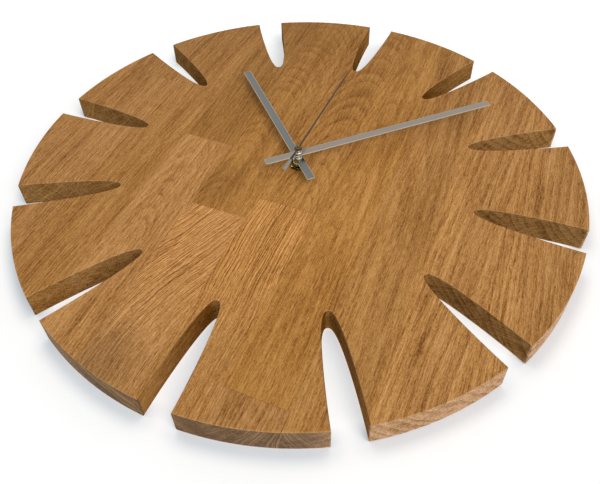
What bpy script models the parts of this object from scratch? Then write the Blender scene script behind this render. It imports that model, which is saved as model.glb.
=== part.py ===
"""Wooden wall clock: a notched oak dial, three hands and the battery movement behind them.

Lengths are in metres. The clock hangs upright: X to the right and Z up as seen from the front,
with the wall at Y = 0 and the dial towards -Y. The origin is where the nail bears in the hanger.
Everything is modelled in the dial's own frame, in which x is right, y is up and z is the height
above the wall, and an empty turns that frame upright.
"""

from math import asin, atan2, cos, hypot, pi, radians, sin

import bmesh
import bpy

# Clearance between pieces that touch, and how far a cutter runs past a face
GAP = 0.0003
OVERRUN = 0.001
WELD = 0.000001

# Dial board
BOARD_RADIUS = 0.200
BOARD_EDGE = 0.0005
WEB_THICKNESS = 0.0022
NOTCH_COUNT = 12
NOTCH_DEPTH = 0.0725
NOTCH_WIDTH = 0.0205
NOTCH_SIDE_POWER = 1.4
NOTCH_TIP_POWER = 2.4
NOTCH_STEPS = 8
RIM_STEPS = 5
POCKET_CLEARANCE = 0.001
POCKET_CORNER = 0.004
SHAFT_HOLE_CLEARANCE = 0.0005

# Hanger plate and its screws
HANGER_RISE = 0.100
HANGER_WIDTH = 0.046
HANGER_HEIGHT = 0.022
HANGER_THICKNESS = 0.001
HANGER_CORNER = 0.006
HANGER_TOP_EDGE = 0.005
KEYHOLE_SLOT_RADIUS = 0.00225
KEYHOLE_ENTRY_RADIUS = 0.0045
KEYHOLE_LENGTH = 0.009
NAIL_SPACE_DEPTH = 0.009
NAIL_SPACE_MARGIN = 0.001
SCREW_INSET = 0.006
SCREW_RADIUS = 0.0015
SCREW_HEAD_RADIUS = 0.0027
SCREW_HEAD_DEPTH = 0.0013
SCREW_LENGTH = 0.0125
SCREW_TIP = 0.0015
SCREW_SETBACK = 0.0001

# Battery and its contacts
BATTERY_RADIUS = 0.0069
BATTERY_LENGTH = 0.0492
BATTERY_CLEARANCE = 0.0004
BATTERY_SETBACK = 0.0006
BATTERY_EDGE = 0.0006
NUB_RADIUS = 0.0027
NUB_LENGTH = 0.001
CONTACT_THICKNESS = 0.0004
CONTACT_WIDTH = 0.009
SPRING_LENGTH = 0.0014

# Movement case
CASE_WALL = 0.0012
CASE_FRONT_WALL = 0.0009
CASE_CORNER = 0.003
PARTITION_THICKNESS = 0.001
COVER_THICKNESS = 0.001
COVER_SETBACK = 0.0003
SKIRT_THICKNESS = 0.0008
SKIRT_HEIGHT = 0.0015
RUBBER_THICKNESS = 0.0006
RUBBER_RADIUS = 0.0105
POST_RADIUS = 0.0012
BEARING_WALL = 0.0007

# Shafts through the dial, from the middle outwards
SECONDS_ARBOR_RADIUS = 0.0006
MINUTE_TUBE_WALL = 0.0007
HOUR_TUBE_WALL = 0.00065
BUSHING_WALL = 0.00115
BUSHING_FLANGE_WIDTH = 0.002
BUSHING_REACH = 0.0046
BUSHING_EDGE = 0.0004
NUT_ACROSS_FLATS = 0.011
NUT_THICKNESS = 0.002
NUT_TURN = radians(25.5)

# Hands: heights are above the front of the dial, to the middle of each hand
HAND_WIDTH = 0.006
HAND_THICKNESS = 0.0008
HOUR_HAND_HEIGHT = 0.0078
HOUR_HAND_LENGTH = 0.116
HOUR_HAND_TAIL = 0.0245
HOUR_HAND_TURN = radians(-44.0)
MINUTE_HAND_HEIGHT = 0.0114
MINUTE_HAND_LENGTH = 0.1565
MINUTE_HAND_TAIL = 0.025
MINUTE_HAND_TURN = radians(47.1)
SECOND_HAND_HEIGHT = 0.0162
SECOND_HAND_LENGTH = 0.100
SECOND_HAND_TAIL = 0.0238
SECOND_HAND_TURN = radians(1.3)
SECOND_HAND_THICKNESS = 0.0003
NEEDLE_WIDTH = 0.0014
NEEDLE_TIP_WIDTH = 0.001
NEEDLE_TAIL_WIDTH = 0.003
HUB_RADIUS = 0.00275
BOSS_WALL = 0.0009
BOSS_HEIGHT = 0.0018
BOSS_LIP = 0.0004
MINUTE_NUT_HEIGHT = 0.0016
TUBE_END = 0.0003
CAP_NECK_WALL = 0.0005
CAP_HEAD_WALL = 0.001
CAP_HEAD_HEIGHT = 0.0004
CAP_HEIGHT = 0.0013

# Gear train: teeth, and the modules from which the arbors' distances follow
ROTOR_TEETH = 8
INTERMEDIATE_TEETH = 48
INTERMEDIATE_PINION_TEETH = 8
SECONDS_TEETH = 40
SECONDS_PINION_TEETH = 8
THIRD_TEETH = 64
THIRD_PINION_TEETH = 8
CENTRE_TEETH = 60
CANNON_TEETH = 12
MOTION_TEETH = 36
MOTION_PINION_TEETH = 10
HOUR_TEETH = 40
ROTOR_MODULE = 0.00025
SECONDS_MODULE = 0.0003
THIRD_MODULE = 0.00025
MOTION_MODULE = 0.0004
THIRD_DIRECTION = radians(180)
INTERMEDIATE_DIRECTION = radians(90)
ROTOR_DIRECTION = radians(30)
MOTION_DIRECTION = radians(-10)

# Tooth form: widths as shares of the pitch, heights as shares of the module
WHEEL_TOOTH_SHARES = {"tip": 0.22, "root": 0.56, "above": 0.9, "below": 1.25}
PINION_TOOTH_SHARES = {"tip": 0.22, "root": 0.42, "above": 0.8, "below": 1.3}

# Heights of the inner pieces as shares of the room between rear cover and case floor
LAYER_SHARES = {
    "rotor_boss": (0.0, 0.055),
    "wheel_boss": (0.0, 0.085),
    "third_boss": (0.0, 0.30),
    "rotor_pinion": (0.09, 0.215),
    "intermediate_wheel": (0.12, 0.18),
    "intermediate_pinion": (0.15, 0.335),
    "seconds_wheel": (0.245, 0.305),
    "seconds_pinion": (0.33, 0.505),
    "magnet": (0.30, 0.45),
    "stator": (0.345, 0.405),
    "third_wheel": (0.42, 0.48),
    "third_pinion": (0.45, 0.74),
    "middle_plate": (0.53, 0.59),
    "cannon_flange": (0.615, 0.645),
    "centre_wheel": (0.67, 0.715),
    "cannon_pinion": (0.74, 0.845),
    "motion_wheel": (0.76, 0.82),
    "motion_pinion": (0.79, 0.965),
    "hour_wheel": (0.89, 0.97),
}

# Arbors, motor, circuit board and setting knob
PIVOT_RADIUS = 0.0005
MOTION_ARBOR_RADIUS = 0.0009
CLUTCH_HUB_RADIUS = 0.00175
CLUTCH_FLANGE_RADIUS = 0.0029
MAGNET_RADIUS = 0.003
AIR_GAP = 0.0004
POLE_WIDTH = 0.0014
CORE_WIDTH = 0.0036
STATOR_HALF_WIDTH = 0.0155
COIL_FLANGE_THICKNESS = 0.0008
COIL_CLEARANCE = 0.0004
POLE_CLEARANCE = 0.0007
BARREL_WALL = 0.0006
CORE_CLEARANCE = 0.00036
WINDING_INSET = 0.0004
PLATE_HALF_WIDTH = 0.0175
PLATE_CORNER = 0.0015
PLATE_MARGIN = 0.0023
WHEEL_MARGIN = 0.002
BOARD_STRIP_WIDTH = 0.0078
STRIP_CLEARANCE = 0.0009
BOARD_STRIP_LENGTH = 0.0265
CIRCUIT_THICKNESS = 0.001
CIRCUIT_DEPTH = 0.0047
CHIP_RADIUS = 0.003
CHIP_HEIGHT = 0.0012
CRYSTAL_RADIUS = 0.00105
CRYSTAL_LENGTH = 0.006
KNOB_RADIUS = 0.0046
KNOB_THICKNESS = 0.0025
KNOB_SETBACK = 0.0002
KNOB_FLUTES = 20
KNOB_FLUTE_DEPTH = 0.0004
FLUTE_SHARES = (0.0, 0.35, 0.5, 0.85)
KNOB_FACE = 0.0008
CUP_CLEARANCE = 0.0006
CUP_WALL = 0.0008

# Facets round a turned piece, and the angle past which an edge is sharp
FINE_STEPS = 20
STEPS = 16
SMALL_STEPS = 10
SHARP_ANGLE = radians(40)

# Heights above the wall that follow from the sizes
COVER_INNER = COVER_SETBACK + COVER_THICKNESS
CASE_FLOOR = BATTERY_SETBACK + 2 * BATTERY_RADIUS + GAP
CASE_FRONT = CASE_FLOOR + CASE_FRONT_WALL
POCKET_FLOOR = CASE_FRONT + GAP + RUBBER_THICKNESS + GAP
DIAL_FRONT = POCKET_FLOOR + WEB_THICKNESS
BUSHING_TOP = DIAL_FRONT + BUSHING_REACH
HOUR_HAND_TOP = DIAL_FRONT + HOUR_HAND_HEIGHT + HAND_THICKNESS / 2
MINUTE_HAND_TOP = DIAL_FRONT + MINUTE_HAND_HEIGHT + HAND_THICKNESS / 2
SECOND_HAND_BASE = DIAL_FRONT + SECOND_HAND_HEIGHT - SECOND_HAND_THICKNESS / 2
HOUR_TUBE_TOP = HOUR_HAND_TOP + 2 * TUBE_END
MINUTE_TUBE_TOP = MINUTE_HAND_TOP + GAP + MINUTE_NUT_HEIGHT + TUBE_END

# Radii of the shafts
MINUTE_BORE = SECONDS_ARBOR_RADIUS + GAP
MINUTE_TUBE_RADIUS = MINUTE_BORE + MINUTE_TUBE_WALL
HOUR_BORE = MINUTE_TUBE_RADIUS + GAP
HOUR_TUBE_RADIUS = HOUR_BORE + HOUR_TUBE_WALL
BUSHING_BORE = HOUR_TUBE_RADIUS + GAP
BUSHING_RADIUS = BUSHING_BORE + BUSHING_WALL
BUSHING_FLANGE = BUSHING_RADIUS + BUSHING_FLANGE_WIDTH
BEARING_RADIUS = PIVOT_RADIUS + GAP


def layer(name):
    """Lowest and highest point of an inner piece above the wall."""
    room = CASE_FLOOR - COVER_INNER
    low, high = LAYER_SHARES[name]
    return COVER_INNER + low * room, COVER_INNER + high * room


def along(distance, direction, start=(0, 0)):
    """The point at a distance and direction from a start."""
    return start[0] + distance * cos(direction), start[1] + distance * sin(direction)


# Places of the arbors in plan, and the modules that follow from them
THIRD_DISTANCE = THIRD_MODULE * (THIRD_TEETH + SECONDS_PINION_TEETH) / 2
CENTRE_MODULE = 2 * THIRD_DISTANCE / (CENTRE_TEETH + THIRD_PINION_TEETH)
INTERMEDIATE_DISTANCE = SECONDS_MODULE * (SECONDS_TEETH + INTERMEDIATE_PINION_TEETH) / 2
ROTOR_DISTANCE = ROTOR_MODULE * (INTERMEDIATE_TEETH + ROTOR_TEETH) / 2
MOTION_DISTANCE = MOTION_MODULE * (CANNON_TEETH + MOTION_TEETH) / 2
HOUR_MODULE = 2 * MOTION_DISTANCE / (HOUR_TEETH + MOTION_PINION_TEETH)
CENTRE = (0, 0)
THIRD = along(THIRD_DISTANCE, THIRD_DIRECTION)
INTERMEDIATE = along(INTERMEDIATE_DISTANCE, INTERMEDIATE_DIRECTION)
ROTOR = along(ROTOR_DISTANCE, ROTOR_DIRECTION, INTERMEDIATE)
MOTION = along(MOTION_DISTANCE, MOTION_DIRECTION)

MOTION_REACH = MOTION_MODULE * (MOTION_TEETH / 2 + WHEEL_TOOTH_SHARES["above"])
ROOM_BOTTOM = MOTION[1] - MOTION_REACH - WHEEL_MARGIN

# Motor: the coil lies along the top of the case, above the rotor
STATOR_MIDDLE = sum(layer("stator")) / 2
COIL_FLANGE_RADIUS = STATOR_MIDDLE - COVER_INNER - COIL_CLEARANCE
POLE_RADIUS = MAGNET_RADIUS + AIR_GAP + POLE_WIDTH
COIL_Y = ROTOR[1] + POLE_RADIUS + POLE_CLEARANCE + COIL_FLANGE_RADIUS
STATOR_INNER = STATOR_HALF_WIDTH - CORE_WIDTH
COIL_HALF = STATOR_INNER - 2 * GAP
STATOR_POST_Y = (ROTOR[1] + COIL_Y) / 2
PLATE_TOP = ROTOR[1] + PLATE_MARGIN
PLATE_BOTTOM = ROOM_BOTTOM + GAP
POST_X = PLATE_HALF_WIDTH - POST_RADIUS - GAP

# Circuit board strip to the right of the middle plate
CIRCUIT_X = PLATE_HALF_WIDTH + STRIP_CLEARANCE + BOARD_STRIP_WIDTH / 2
CIRCUIT_Y = ROOM_BOTTOM + 2 * GAP + BOARD_STRIP_LENGTH / 2
CIRCUIT_HIGH = CASE_FLOOR - CIRCUIT_DEPTH
CIRCUIT_LOW = CIRCUIT_HIGH - CIRCUIT_THICKNESS

# Plan of the case: it is as wide as its battery bay or its works, whichever is wider
BAY_LENGTH = BATTERY_LENGTH + NUB_LENGTH + SPRING_LENGTH + 2 * CONTACT_THICKNESS + 4 * GAP
ROOM_HALF = max(BAY_LENGTH / 2, CIRCUIT_X + BOARD_STRIP_WIDTH / 2 + 2 * GAP)
ROOM_TOP = COIL_Y + COIL_FLANGE_RADIUS + GAP + SKIRT_THICKNESS + GAP
PARTITION_Y = ROOM_BOTTOM - PARTITION_THICKNESS
BATTERY_Y = PARTITION_Y - BATTERY_CLEARANCE - BATTERY_RADIUS
BATTERY_Z = BATTERY_SETBACK + BATTERY_RADIUS
BATTERY_START = CONTACT_THICKNESS + SPRING_LENGTH + 2 * GAP - ROOM_HALF
BAY_BOTTOM = BATTERY_Y - BATTERY_RADIUS - BATTERY_CLEARANCE
CASE_HALF = ROOM_HALF + CASE_WALL
CASE_TOP = ROOM_TOP + CASE_WALL
CASE_BOTTOM = BAY_BOTTOM - CASE_WALL

# Setting knob in the cup of the rear cover
KNOB_LOW = COVER_SETBACK + KNOB_SETBACK
KNOB_HIGH = KNOB_LOW + KNOB_THICKNESS
CUP_RADIUS = KNOB_RADIUS + CUP_CLEARANCE
CUP_FLOOR = KNOB_HIGH + GAP

# Hanger plate in plan
SLOT_END_Y = HANGER_RISE - KEYHOLE_SLOT_RADIUS
ENTRY_Y = SLOT_END_Y - KEYHOLE_LENGTH
HANGER_Y = HANGER_RISE + HANGER_TOP_EDGE - HANGER_HEIGHT / 2
SCREW_X = HANGER_WIDTH / 2 - SCREW_INSET


def collection(name):
    """A new collection in the scene."""
    group = bpy.data.collections.new(name)
    bpy.context.scene.collection.children.link(group)
    return group


def empty(name, parent, place=(0, 0, 0), turn=(0, 0, 0)):
    """An empty that places what is parented to it."""
    item = bpy.data.objects.new(name, None)
    PARTS.objects.link(item)
    item.parent = parent
    item.location = place
    item.rotation_euler = turn
    return item


def material(name, colour, roughness, metallic=0.0):
    """A plain Principled material."""
    made = bpy.data.materials.new(name)
    made.use_nodes = True
    shader = made.node_tree.nodes["Principled BSDF"]
    shader.inputs["Base Color"].default_value = (*colour, 1)
    shader.inputs["Roughness"].default_value = roughness
    shader.inputs["Metallic"].default_value = metallic
    return made


def place(name, mesh, parent, finish):
    """A part when a finish is given, or else a cutter."""
    mesh.name = name
    item = bpy.data.objects.new(name, mesh)
    (PARTS if finish else CUTTERS).objects.link(item)
    item.parent = parent
    if finish:
        mesh.materials.append(finish)
    else:
        item.hide_render = True
        item.display_type = "WIRE"
    return item


def turned(name, profile, parent, finish=None, steps=STEPS, ring=True):
    """A turned shape. The profile's (radius, height) points run down the outer side."""
    mesh = bpy.data.meshes.new(name)
    bm = bmesh.new()
    points = [bm.verts.new((radius, 0, height)) for radius, height in profile]
    for first, second in zip(points, points[1:] + points[:1] if ring else points[1:]):
        bm.edges.new((first, second))
    bm.to_mesh(mesh)
    bm.free()
    item = place(name, mesh, parent, finish)
    screw = item.modifiers.new("turn", "SCREW")
    screw.steps = steps
    screw.render_steps = steps
    screw.use_merge_vertices = True
    screw.merge_threshold = WELD
    return item


def tube(name, inner, outer, low, high, parent, finish=None, steps=STEPS):
    """A plain tube along z."""
    profile = [(outer, high), (outer, low), (inner, low), (inner, high)]
    return turned(name, profile, parent, finish, steps)


def rod(name, radius, low, high, parent, finish=None, steps=SMALL_STEPS):
    """A plain rod along z."""
    profile = [(0, high), (radius, high), (radius, low), (0, low)]
    return turned(name, profile, parent, finish, steps, ring=False)


def flat_mesh(name, loops, low, high, edge=0.0):
    """The mesh of flat outlines between two heights, with chamfered edges if asked for."""
    curve = bpy.data.curves.new(name, "CURVE")
    curve.dimensions = "2D"
    curve.fill_mode = "BOTH"
    curve.extrude = (high - low) / 2 - edge
    curve.bevel_depth = edge
    curve.bevel_resolution = 0
    curve.offset = -edge
    for points in loops:
        spline = curve.splines.new("POLY")
        spline.points.add(len(points) - 1)
        for corner, (x, y) in zip(spline.points, points):
            corner.co = (x, y, 0, 1)
        spline.use_cyclic_u = True
    outline = bpy.data.objects.new(name, curve)
    CUTTERS.objects.link(outline)
    graph = bpy.context.evaluated_depsgraph_get()
    mesh = bpy.data.meshes.new_from_object(outline.evaluated_get(graph))
    bpy.data.objects.remove(outline)
    bpy.data.curves.remove(curve)
    bm = bmesh.new()
    bm.from_mesh(mesh)
    bmesh.ops.remove_doubles(bm, verts=bm.verts, dist=WELD)
    bmesh.ops.translate(bm, verts=bm.verts, vec=(0, 0, (low + high) / 2))
    bmesh.ops.recalc_face_normals(bm, faces=bm.faces)
    bm.to_mesh(mesh)
    bm.free()
    return mesh


def flat(name, loops, low, high, parent, finish=None, edge=0.0):
    """A flat outline given a thickness."""
    return place(name, flat_mesh(name, loops, low, high, edge), parent, finish)


def combine(target, operation, pieces):
    """Joins pieces to a target, or cuts them out of it."""
    for piece in pieces:
        step = target.modifiers.new(piece.name, "BOOLEAN")
        step.operation = operation
        step.solver = "EXACT"
        step.object = piece


def smooth_by_angle():
    """A node group that shades a mesh smooth, with sharp edges where it bends more."""
    group = bpy.data.node_groups.new("smooth_by_angle", "GeometryNodeTree")
    group.interface.new_socket("Geometry", in_out="INPUT", socket_type="NodeSocketGeometry")
    group.interface.new_socket("Geometry", in_out="OUTPUT", socket_type="NodeSocketGeometry")
    start = group.nodes.new("NodeGroupInput")
    faces = group.nodes.new("GeometryNodeSetShadeSmooth")
    bend = group.nodes.new("GeometryNodeInputMeshEdgeAngle")
    sharp = group.nodes.new("FunctionNodeCompare")
    sharp.inputs["B"].default_value = SHARP_ANGLE
    edges = group.nodes.new("GeometryNodeSetShadeSmooth")
    edges.domain = "EDGE"
    edges.inputs["Shade Smooth"].default_value = False
    end = group.nodes.new("NodeGroupOutput")
    group.links.new(start.outputs["Geometry"], faces.inputs["Geometry"])
    group.links.new(faces.outputs["Geometry"], edges.inputs["Geometry"])
    group.links.new(bend.outputs["Unsigned Angle"], sharp.inputs["A"])
    group.links.new(sharp.outputs["Result"], edges.inputs["Selection"])
    group.links.new(edges.outputs["Geometry"], end.inputs["Geometry"])
    return group


def arc(centre, radius, start, end, steps):
    """Points along an arc, ends included."""
    turns = [start + (end - start) * step / steps for step in range(steps + 1)]
    return [(centre[0] + radius * cos(turn), centre[1] + radius * sin(turn)) for turn in turns]


def circle(centre, radius, steps=STEPS):
    """Points round a circle."""
    return arc(centre, radius, 0, 2 * pi, steps)[:-1]


def rectangle(left, right, bottom, top, corner, steps=3):
    """A rectangle with rounded corners."""
    middles = [
        (right - corner, top - corner),
        (left + corner, top - corner),
        (left + corner, bottom + corner),
        (right - corner, bottom + corner),
    ]
    points = []
    for quarter, middle in enumerate(middles):
        points += arc(middle, corner, quarter * pi / 2, (quarter + 1) * pi / 2, steps)
    return points


def gear(teeth, module, shares, turn=0.0):
    """The outline of a gear wheel, with a tooth centred at the turn."""
    pitch_radius = teeth * module / 2
    tip = pitch_radius + shares["above"] * module
    root = pitch_radius - shares["below"] * module
    half_pitch = pi / teeth
    sides = [(root, -shares["root"]), (tip, -shares["tip"])]
    sides += [(tip, shares["tip"]), (root, shares["root"])]
    points = []
    for tooth in range(teeth):
        middle = turn + 2 * tooth * half_pitch
        for radius, share in sides:
            points.append(along(radius, middle + share * half_pitch))
    return points


def meshing_turn(driver_teeth, driver_turn, teeth, direction):
    """The turn at which a gear meshes with a driver that lies in the opposite direction."""
    driver_phase = (direction - driver_turn) * driver_teeth / (2 * pi)
    return direction + pi - (0.5 - driver_phase) * 2 * pi / teeth


def notch_side():
    """Half the notch's outline from its tip to the rim, as (half width, radius) points."""
    half = NOTCH_WIDTH / 2
    rim = (BOARD_RADIUS**2 - half**2) ** 0.5
    points = []
    for step in range(NOTCH_STEPS + 1):
        share = (step / NOTCH_STEPS) ** 2
        width = half * (1 - (1 - share) ** NOTCH_SIDE_POWER) ** (1 / NOTCH_TIP_POWER)
        points.append((width, rim - NOTCH_DEPTH * (1 - share)))
    return points


def board_outline():
    """The dial's outline: a rim arc and a notch for each hour."""
    side = notch_side()
    mouth = asin(NOTCH_WIDTH / 2 / BOARD_RADIUS)
    sector = 2 * pi / NOTCH_COUNT
    points = []
    for hour in range(NOTCH_COUNT):
        middle = pi / 2 + hour * sector
        for sense, run in ((-1, side[::-1]), (1, side[1:])):
            for width, radius in run:
                offset = sense * atan2(width, radius)
                points.append(along(hypot(width, radius), middle + offset))
        rim = arc(CENTRE, BOARD_RADIUS, middle + mouth, middle + sector - mouth, RIM_STEPS)
        points += rim[1:-1]
    return points


def dial_board():
    shaft_hole = circle(CENTRE, BUSHING_RADIUS + SHAFT_HOLE_CLEARANCE, FINE_STEPS)
    board = flat("dial_board", [board_outline(), shaft_hole], 0, DIAL_FRONT, DIAL, OAK, BOARD_EDGE)
    side = CASE_HALF + POCKET_CLEARANCE
    bottom, top = CASE_BOTTOM - POCKET_CLEARANCE, CASE_TOP + POCKET_CLEARANCE
    pocket = rectangle(-side, side, bottom, top, POCKET_CORNER)
    cuts = [flat("movement_pocket", [pocket], -OVERRUN, POCKET_FLOOR, DIAL)]
    half_width = HANGER_WIDTH / 2 + GAP
    half_height = HANGER_HEIGHT / 2 + GAP
    recess = rectangle(
        -half_width, half_width, HANGER_Y - half_height, HANGER_Y + half_height, HANGER_CORNER + GAP
    )
    cuts.append(flat("hanger_recess", [recess], -OVERRUN, HANGER_THICKNESS + GAP, DIAL))
    margin = KEYHOLE_ENTRY_RADIUS + NAIL_SPACE_MARGIN
    nail_space = rectangle(-margin, margin, ENTRY_Y - margin, SLOT_END_Y + margin, margin, 6)
    cuts.append(flat("nail_space", [nail_space], -OVERRUN, HANGER_THICKNESS + NAIL_SPACE_DEPTH, DIAL))
    for side, name in ((-1, "left"), (1, "right")):
        hole = rod(f"screw_hole_{name}", SCREW_RADIUS + GAP, -OVERRUN, SCREW_LENGTH + GAP, DIAL)
        hole.location = (side * SCREW_X, HANGER_Y, 0)
        cuts.append(hole)
    combine(board, "DIFFERENCE", cuts)


def keyhole():
    """The keyhole: a round entry below a slot whose upper end bears on the nail."""
    meeting = asin(KEYHOLE_SLOT_RADIUS / KEYHOLE_ENTRY_RADIUS)
    entry = arc((0, ENTRY_Y), KEYHOLE_ENTRY_RADIUS, pi / 2 + meeting, 5 * pi / 2 - meeting, 16)
    return entry + arc((0, SLOT_END_Y), KEYHOLE_SLOT_RADIUS, 0, pi, 8)


def screw_profile(clearance, setback):
    """A countersunk screw, point up, or the space that it needs."""
    head = SCREW_HEAD_RADIUS + clearance
    shank = SCREW_RADIUS + clearance
    return [
        (0, SCREW_LENGTH),
        (shank, SCREW_LENGTH - SCREW_TIP),
        (shank, SCREW_HEAD_DEPTH),
        (head, SCREW_SETBACK),
        (head, setback),
        (0, setback),
    ]


def hanger():
    half = HANGER_WIDTH / 2
    outline = rectangle(
        -half, half, HANGER_Y - HANGER_HEIGHT / 2, HANGER_Y + HANGER_HEIGHT / 2, HANGER_CORNER, 5
    )
    plate = flat("hanger_plate", [outline, keyhole()], 0, HANGER_THICKNESS, DIAL, ZINC)
    for side, name in ((-1, "left"), (1, "right")):
        where = (side * SCREW_X, HANGER_Y, 0)
        space = screw_profile(hypot(GAP, GAP), -OVERRUN)
        cutter = turned(f"countersink_{name}", space, DIAL, ring=False)
        cutter.location = where
        combine(plate, "DIFFERENCE", [cutter])
        screw = turned(f"hanger_screw_{name}", screw_profile(0, 0), DIAL, ZINC, ring=False)
        screw.location = where


def front_case():
    outer = rectangle(-CASE_HALF, CASE_HALF, CASE_BOTTOM, CASE_TOP, CASE_CORNER)
    rim = COVER_INNER + GAP
    case = flat("front_case", [outer], rim, CASE_FRONT, DIAL, CASE_PLASTIC)
    corner = CASE_CORNER - CASE_WALL
    room = rectangle(-ROOM_HALF, ROOM_HALF, ROOM_BOTTOM, ROOM_TOP, corner)
    bay = rectangle(-ROOM_HALF, BAY_LENGTH - ROOM_HALF, BAY_BOTTOM, PARTITION_Y, corner)
    cuts = [
        flat("gear_room", [room], -OVERRUN, CASE_FLOOR, DIAL),
        flat("battery_bay", [bay], -OVERRUN, CASE_FLOOR, DIAL),
        rod("bushing_hole", BUSHING_RADIUS + GAP, 0, DIAL_FRONT, DIAL, steps=FINE_STEPS),
    ]
    for name, where in (("third_bearing", THIRD), ("motion_bearing", MOTION)):
        hole = rod(name, BEARING_RADIUS, 0, DIAL_FRONT, DIAL)
        hole.location = (*where, 0)
        cuts.append(hole)
    combine(case, "DIFFERENCE", cuts)
    plate_seat = layer("middle_plate")[1] + GAP
    stator_seat = layer("stator")[1] + GAP
    low_post, high_post = PLATE_BOTTOM + POST_RADIUS + GAP, PLATE_TOP - POST_RADIUS - GAP
    arm = STATOR_HALF_WIDTH - CORE_WIDTH / 2
    strip_end = BOARD_STRIP_LENGTH / 2 - 2 * POST_RADIUS
    seats = [
        (-POST_X, low_post, plate_seat),
        (POST_X, low_post, plate_seat),
        (-POST_X, high_post, plate_seat),
        (POST_X, high_post, plate_seat),
        (-arm, STATOR_POST_Y, stator_seat),
        (arm, STATOR_POST_Y, stator_seat),
        (CIRCUIT_X, CIRCUIT_Y - strip_end, CIRCUIT_HIGH + GAP),
        (CIRCUIT_X, CIRCUIT_Y + strip_end, CIRCUIT_HIGH + GAP),
    ]
    posts = []
    for number, (x, y, low) in enumerate(seats):
        post = rod(f"case_post_{number}", POST_RADIUS, low, CASE_FLOOR + CASE_FRONT_WALL / 2, DIAL)
        post.location = (x, y, 0)
        posts.append(post)
    combine(case, "UNION", posts)


def rear_cover():
    outer = rectangle(-CASE_HALF, CASE_HALF, PARTITION_Y, CASE_TOP, CASE_CORNER)
    opening = circle(MOTION, CUP_RADIUS + CUP_WALL / 2, FINE_STEPS)
    cover = flat("rear_cover", [outer, opening], COVER_SETBACK, COVER_INNER, DIAL, CASE_PLASTIC)
    inside_plate = COVER_INNER - COVER_THICKNESS / 2
    side, bottom, top = ROOM_HALF - GAP, ROOM_BOTTOM + GAP, ROOM_TOP - GAP
    wall = SKIRT_THICKNESS
    corner = CASE_CORNER - CASE_WALL
    rims = [
        rectangle(-side, side, bottom, top, corner),
        rectangle(wall - side, side - wall, bottom + wall, top - wall, corner / 2),
    ]
    skirt = flat("cover_skirt", rims, inside_plate, COVER_INNER + SKIRT_HEIGHT, DIAL)
    arbor_hole = MOTION_ARBOR_RADIUS + GAP
    cup_outer = CUP_RADIUS + CUP_WALL
    cup = turned(
        "knob_cup",
        [
            (cup_outer, CUP_FLOOR + CUP_WALL),
            (cup_outer, KNOB_LOW),
            (CUP_RADIUS, KNOB_LOW),
            (CUP_RADIUS, CUP_FLOOR),
            (arbor_hole, CUP_FLOOR),
            (arbor_hole, CUP_FLOOR + CUP_WALL),
        ],
        DIAL,
        steps=FINE_STEPS,
    )
    cup.location = (*MOTION, 0)
    bosses = [
        ("rotor_bearing", ROTOR, BEARING_RADIUS, "rotor_boss"),
        ("intermediate_bearing", INTERMEDIATE, BEARING_RADIUS, "wheel_boss"),
        ("seconds_bearing", CENTRE, MINUTE_BORE, "wheel_boss"),
        ("third_lower_bearing", THIRD, BEARING_RADIUS, "third_boss"),
    ]
    joined = [skirt, cup]
    for name, where, bore, height in bosses:
        top = layer(height)[1]
        boss = tube(name, bore, bore + BEARING_WALL, inside_plate, top, DIAL, steps=SMALL_STEPS)
        boss.location = (*where, 0)
        joined.append(boss)
    combine(cover, "UNION", joined)


def bushing_and_nut():
    flange_low = CASE_FRONT + GAP
    flange_high = flange_low + RUBBER_THICKNESS
    turned(
        "threaded_bushing",
        [
            (BUSHING_RADIUS - BUSHING_EDGE, BUSHING_TOP),
            (BUSHING_RADIUS, BUSHING_TOP - BUSHING_EDGE),
            (BUSHING_RADIUS, flange_high),
            (BUSHING_FLANGE, flange_high),
            (BUSHING_FLANGE, flange_low),
            (BUSHING_RADIUS, flange_low),
            (BUSHING_RADIUS, CASE_FLOOR),
            (BUSHING_BORE, CASE_FLOOR),
            (BUSHING_BORE, BUSHING_TOP),
        ],
        DIAL,
        BRASS,
        FINE_STEPS,
    )
    opening = BUSHING_FLANGE + GAP
    tube("rubber_washer", opening, RUBBER_RADIUS, flange_low, flange_high, DIAL, RUBBER, FINE_STEPS)
    low = DIAL_FRONT + GAP
    corner = NUT_ACROSS_FLATS / 2 / cos(pi / 6)
    hexagon = [along(corner, NUT_TURN + side * pi / 3 + pi / 2) for side in range(6)]
    bore = circle(CENTRE, BUSHING_RADIUS + GAP, FINE_STEPS)
    nut = flat("bushing_nut", [hexagon, bore], low, low + NUT_THICKNESS, DIAL, BRASS)
    slope = (corner - NUT_ACROSS_FLATS / 2) / 2
    cone = turned(
        "nut_chamfer",
        [
            (0, low + NUT_THICKNESS + OVERRUN),
            (NUT_ACROSS_FLATS / 2 - OVERRUN, low + NUT_THICKNESS + OVERRUN),
            (corner + slope, low + NUT_THICKNESS - 2 * slope),
            (corner + slope, low - OVERRUN),
            (0, low - OVERRUN),
        ],
        DIAL,
        steps=FINE_STEPS,
        ring=False,
    )
    combine(nut, "INTERSECT", [cone])


def bar_hand(name, length, tail, bore, low, turn, parent):
    """A straight bar hand, pointing at twelve when its turn is zero."""
    half = HAND_WIDTH / 2
    outline = [(half, length), (-half, length), (-half, -tail), (half, -tail)]
    hand = flat(name, [outline, circle(CENTRE, bore)], low, low + HAND_THICKNESS, parent, ALUMINIUM)
    hand.rotation_euler = (0, 0, -turn)


def hand_boss(name, bore, top, parent):
    """The bush below a hand."""
    outer = bore + BOSS_WALL
    turned(
        name,
        [
            (outer, top),
            (outer, top - BOSS_HEIGHT / 2),
            (outer - BOSS_LIP, top - BOSS_HEIGHT / 2),
            (outer - BOSS_LIP, top - BOSS_HEIGHT),
            (bore, top - BOSS_HEIGHT),
            (bore, top),
        ],
        parent,
        NICKEL,
    )


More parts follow.
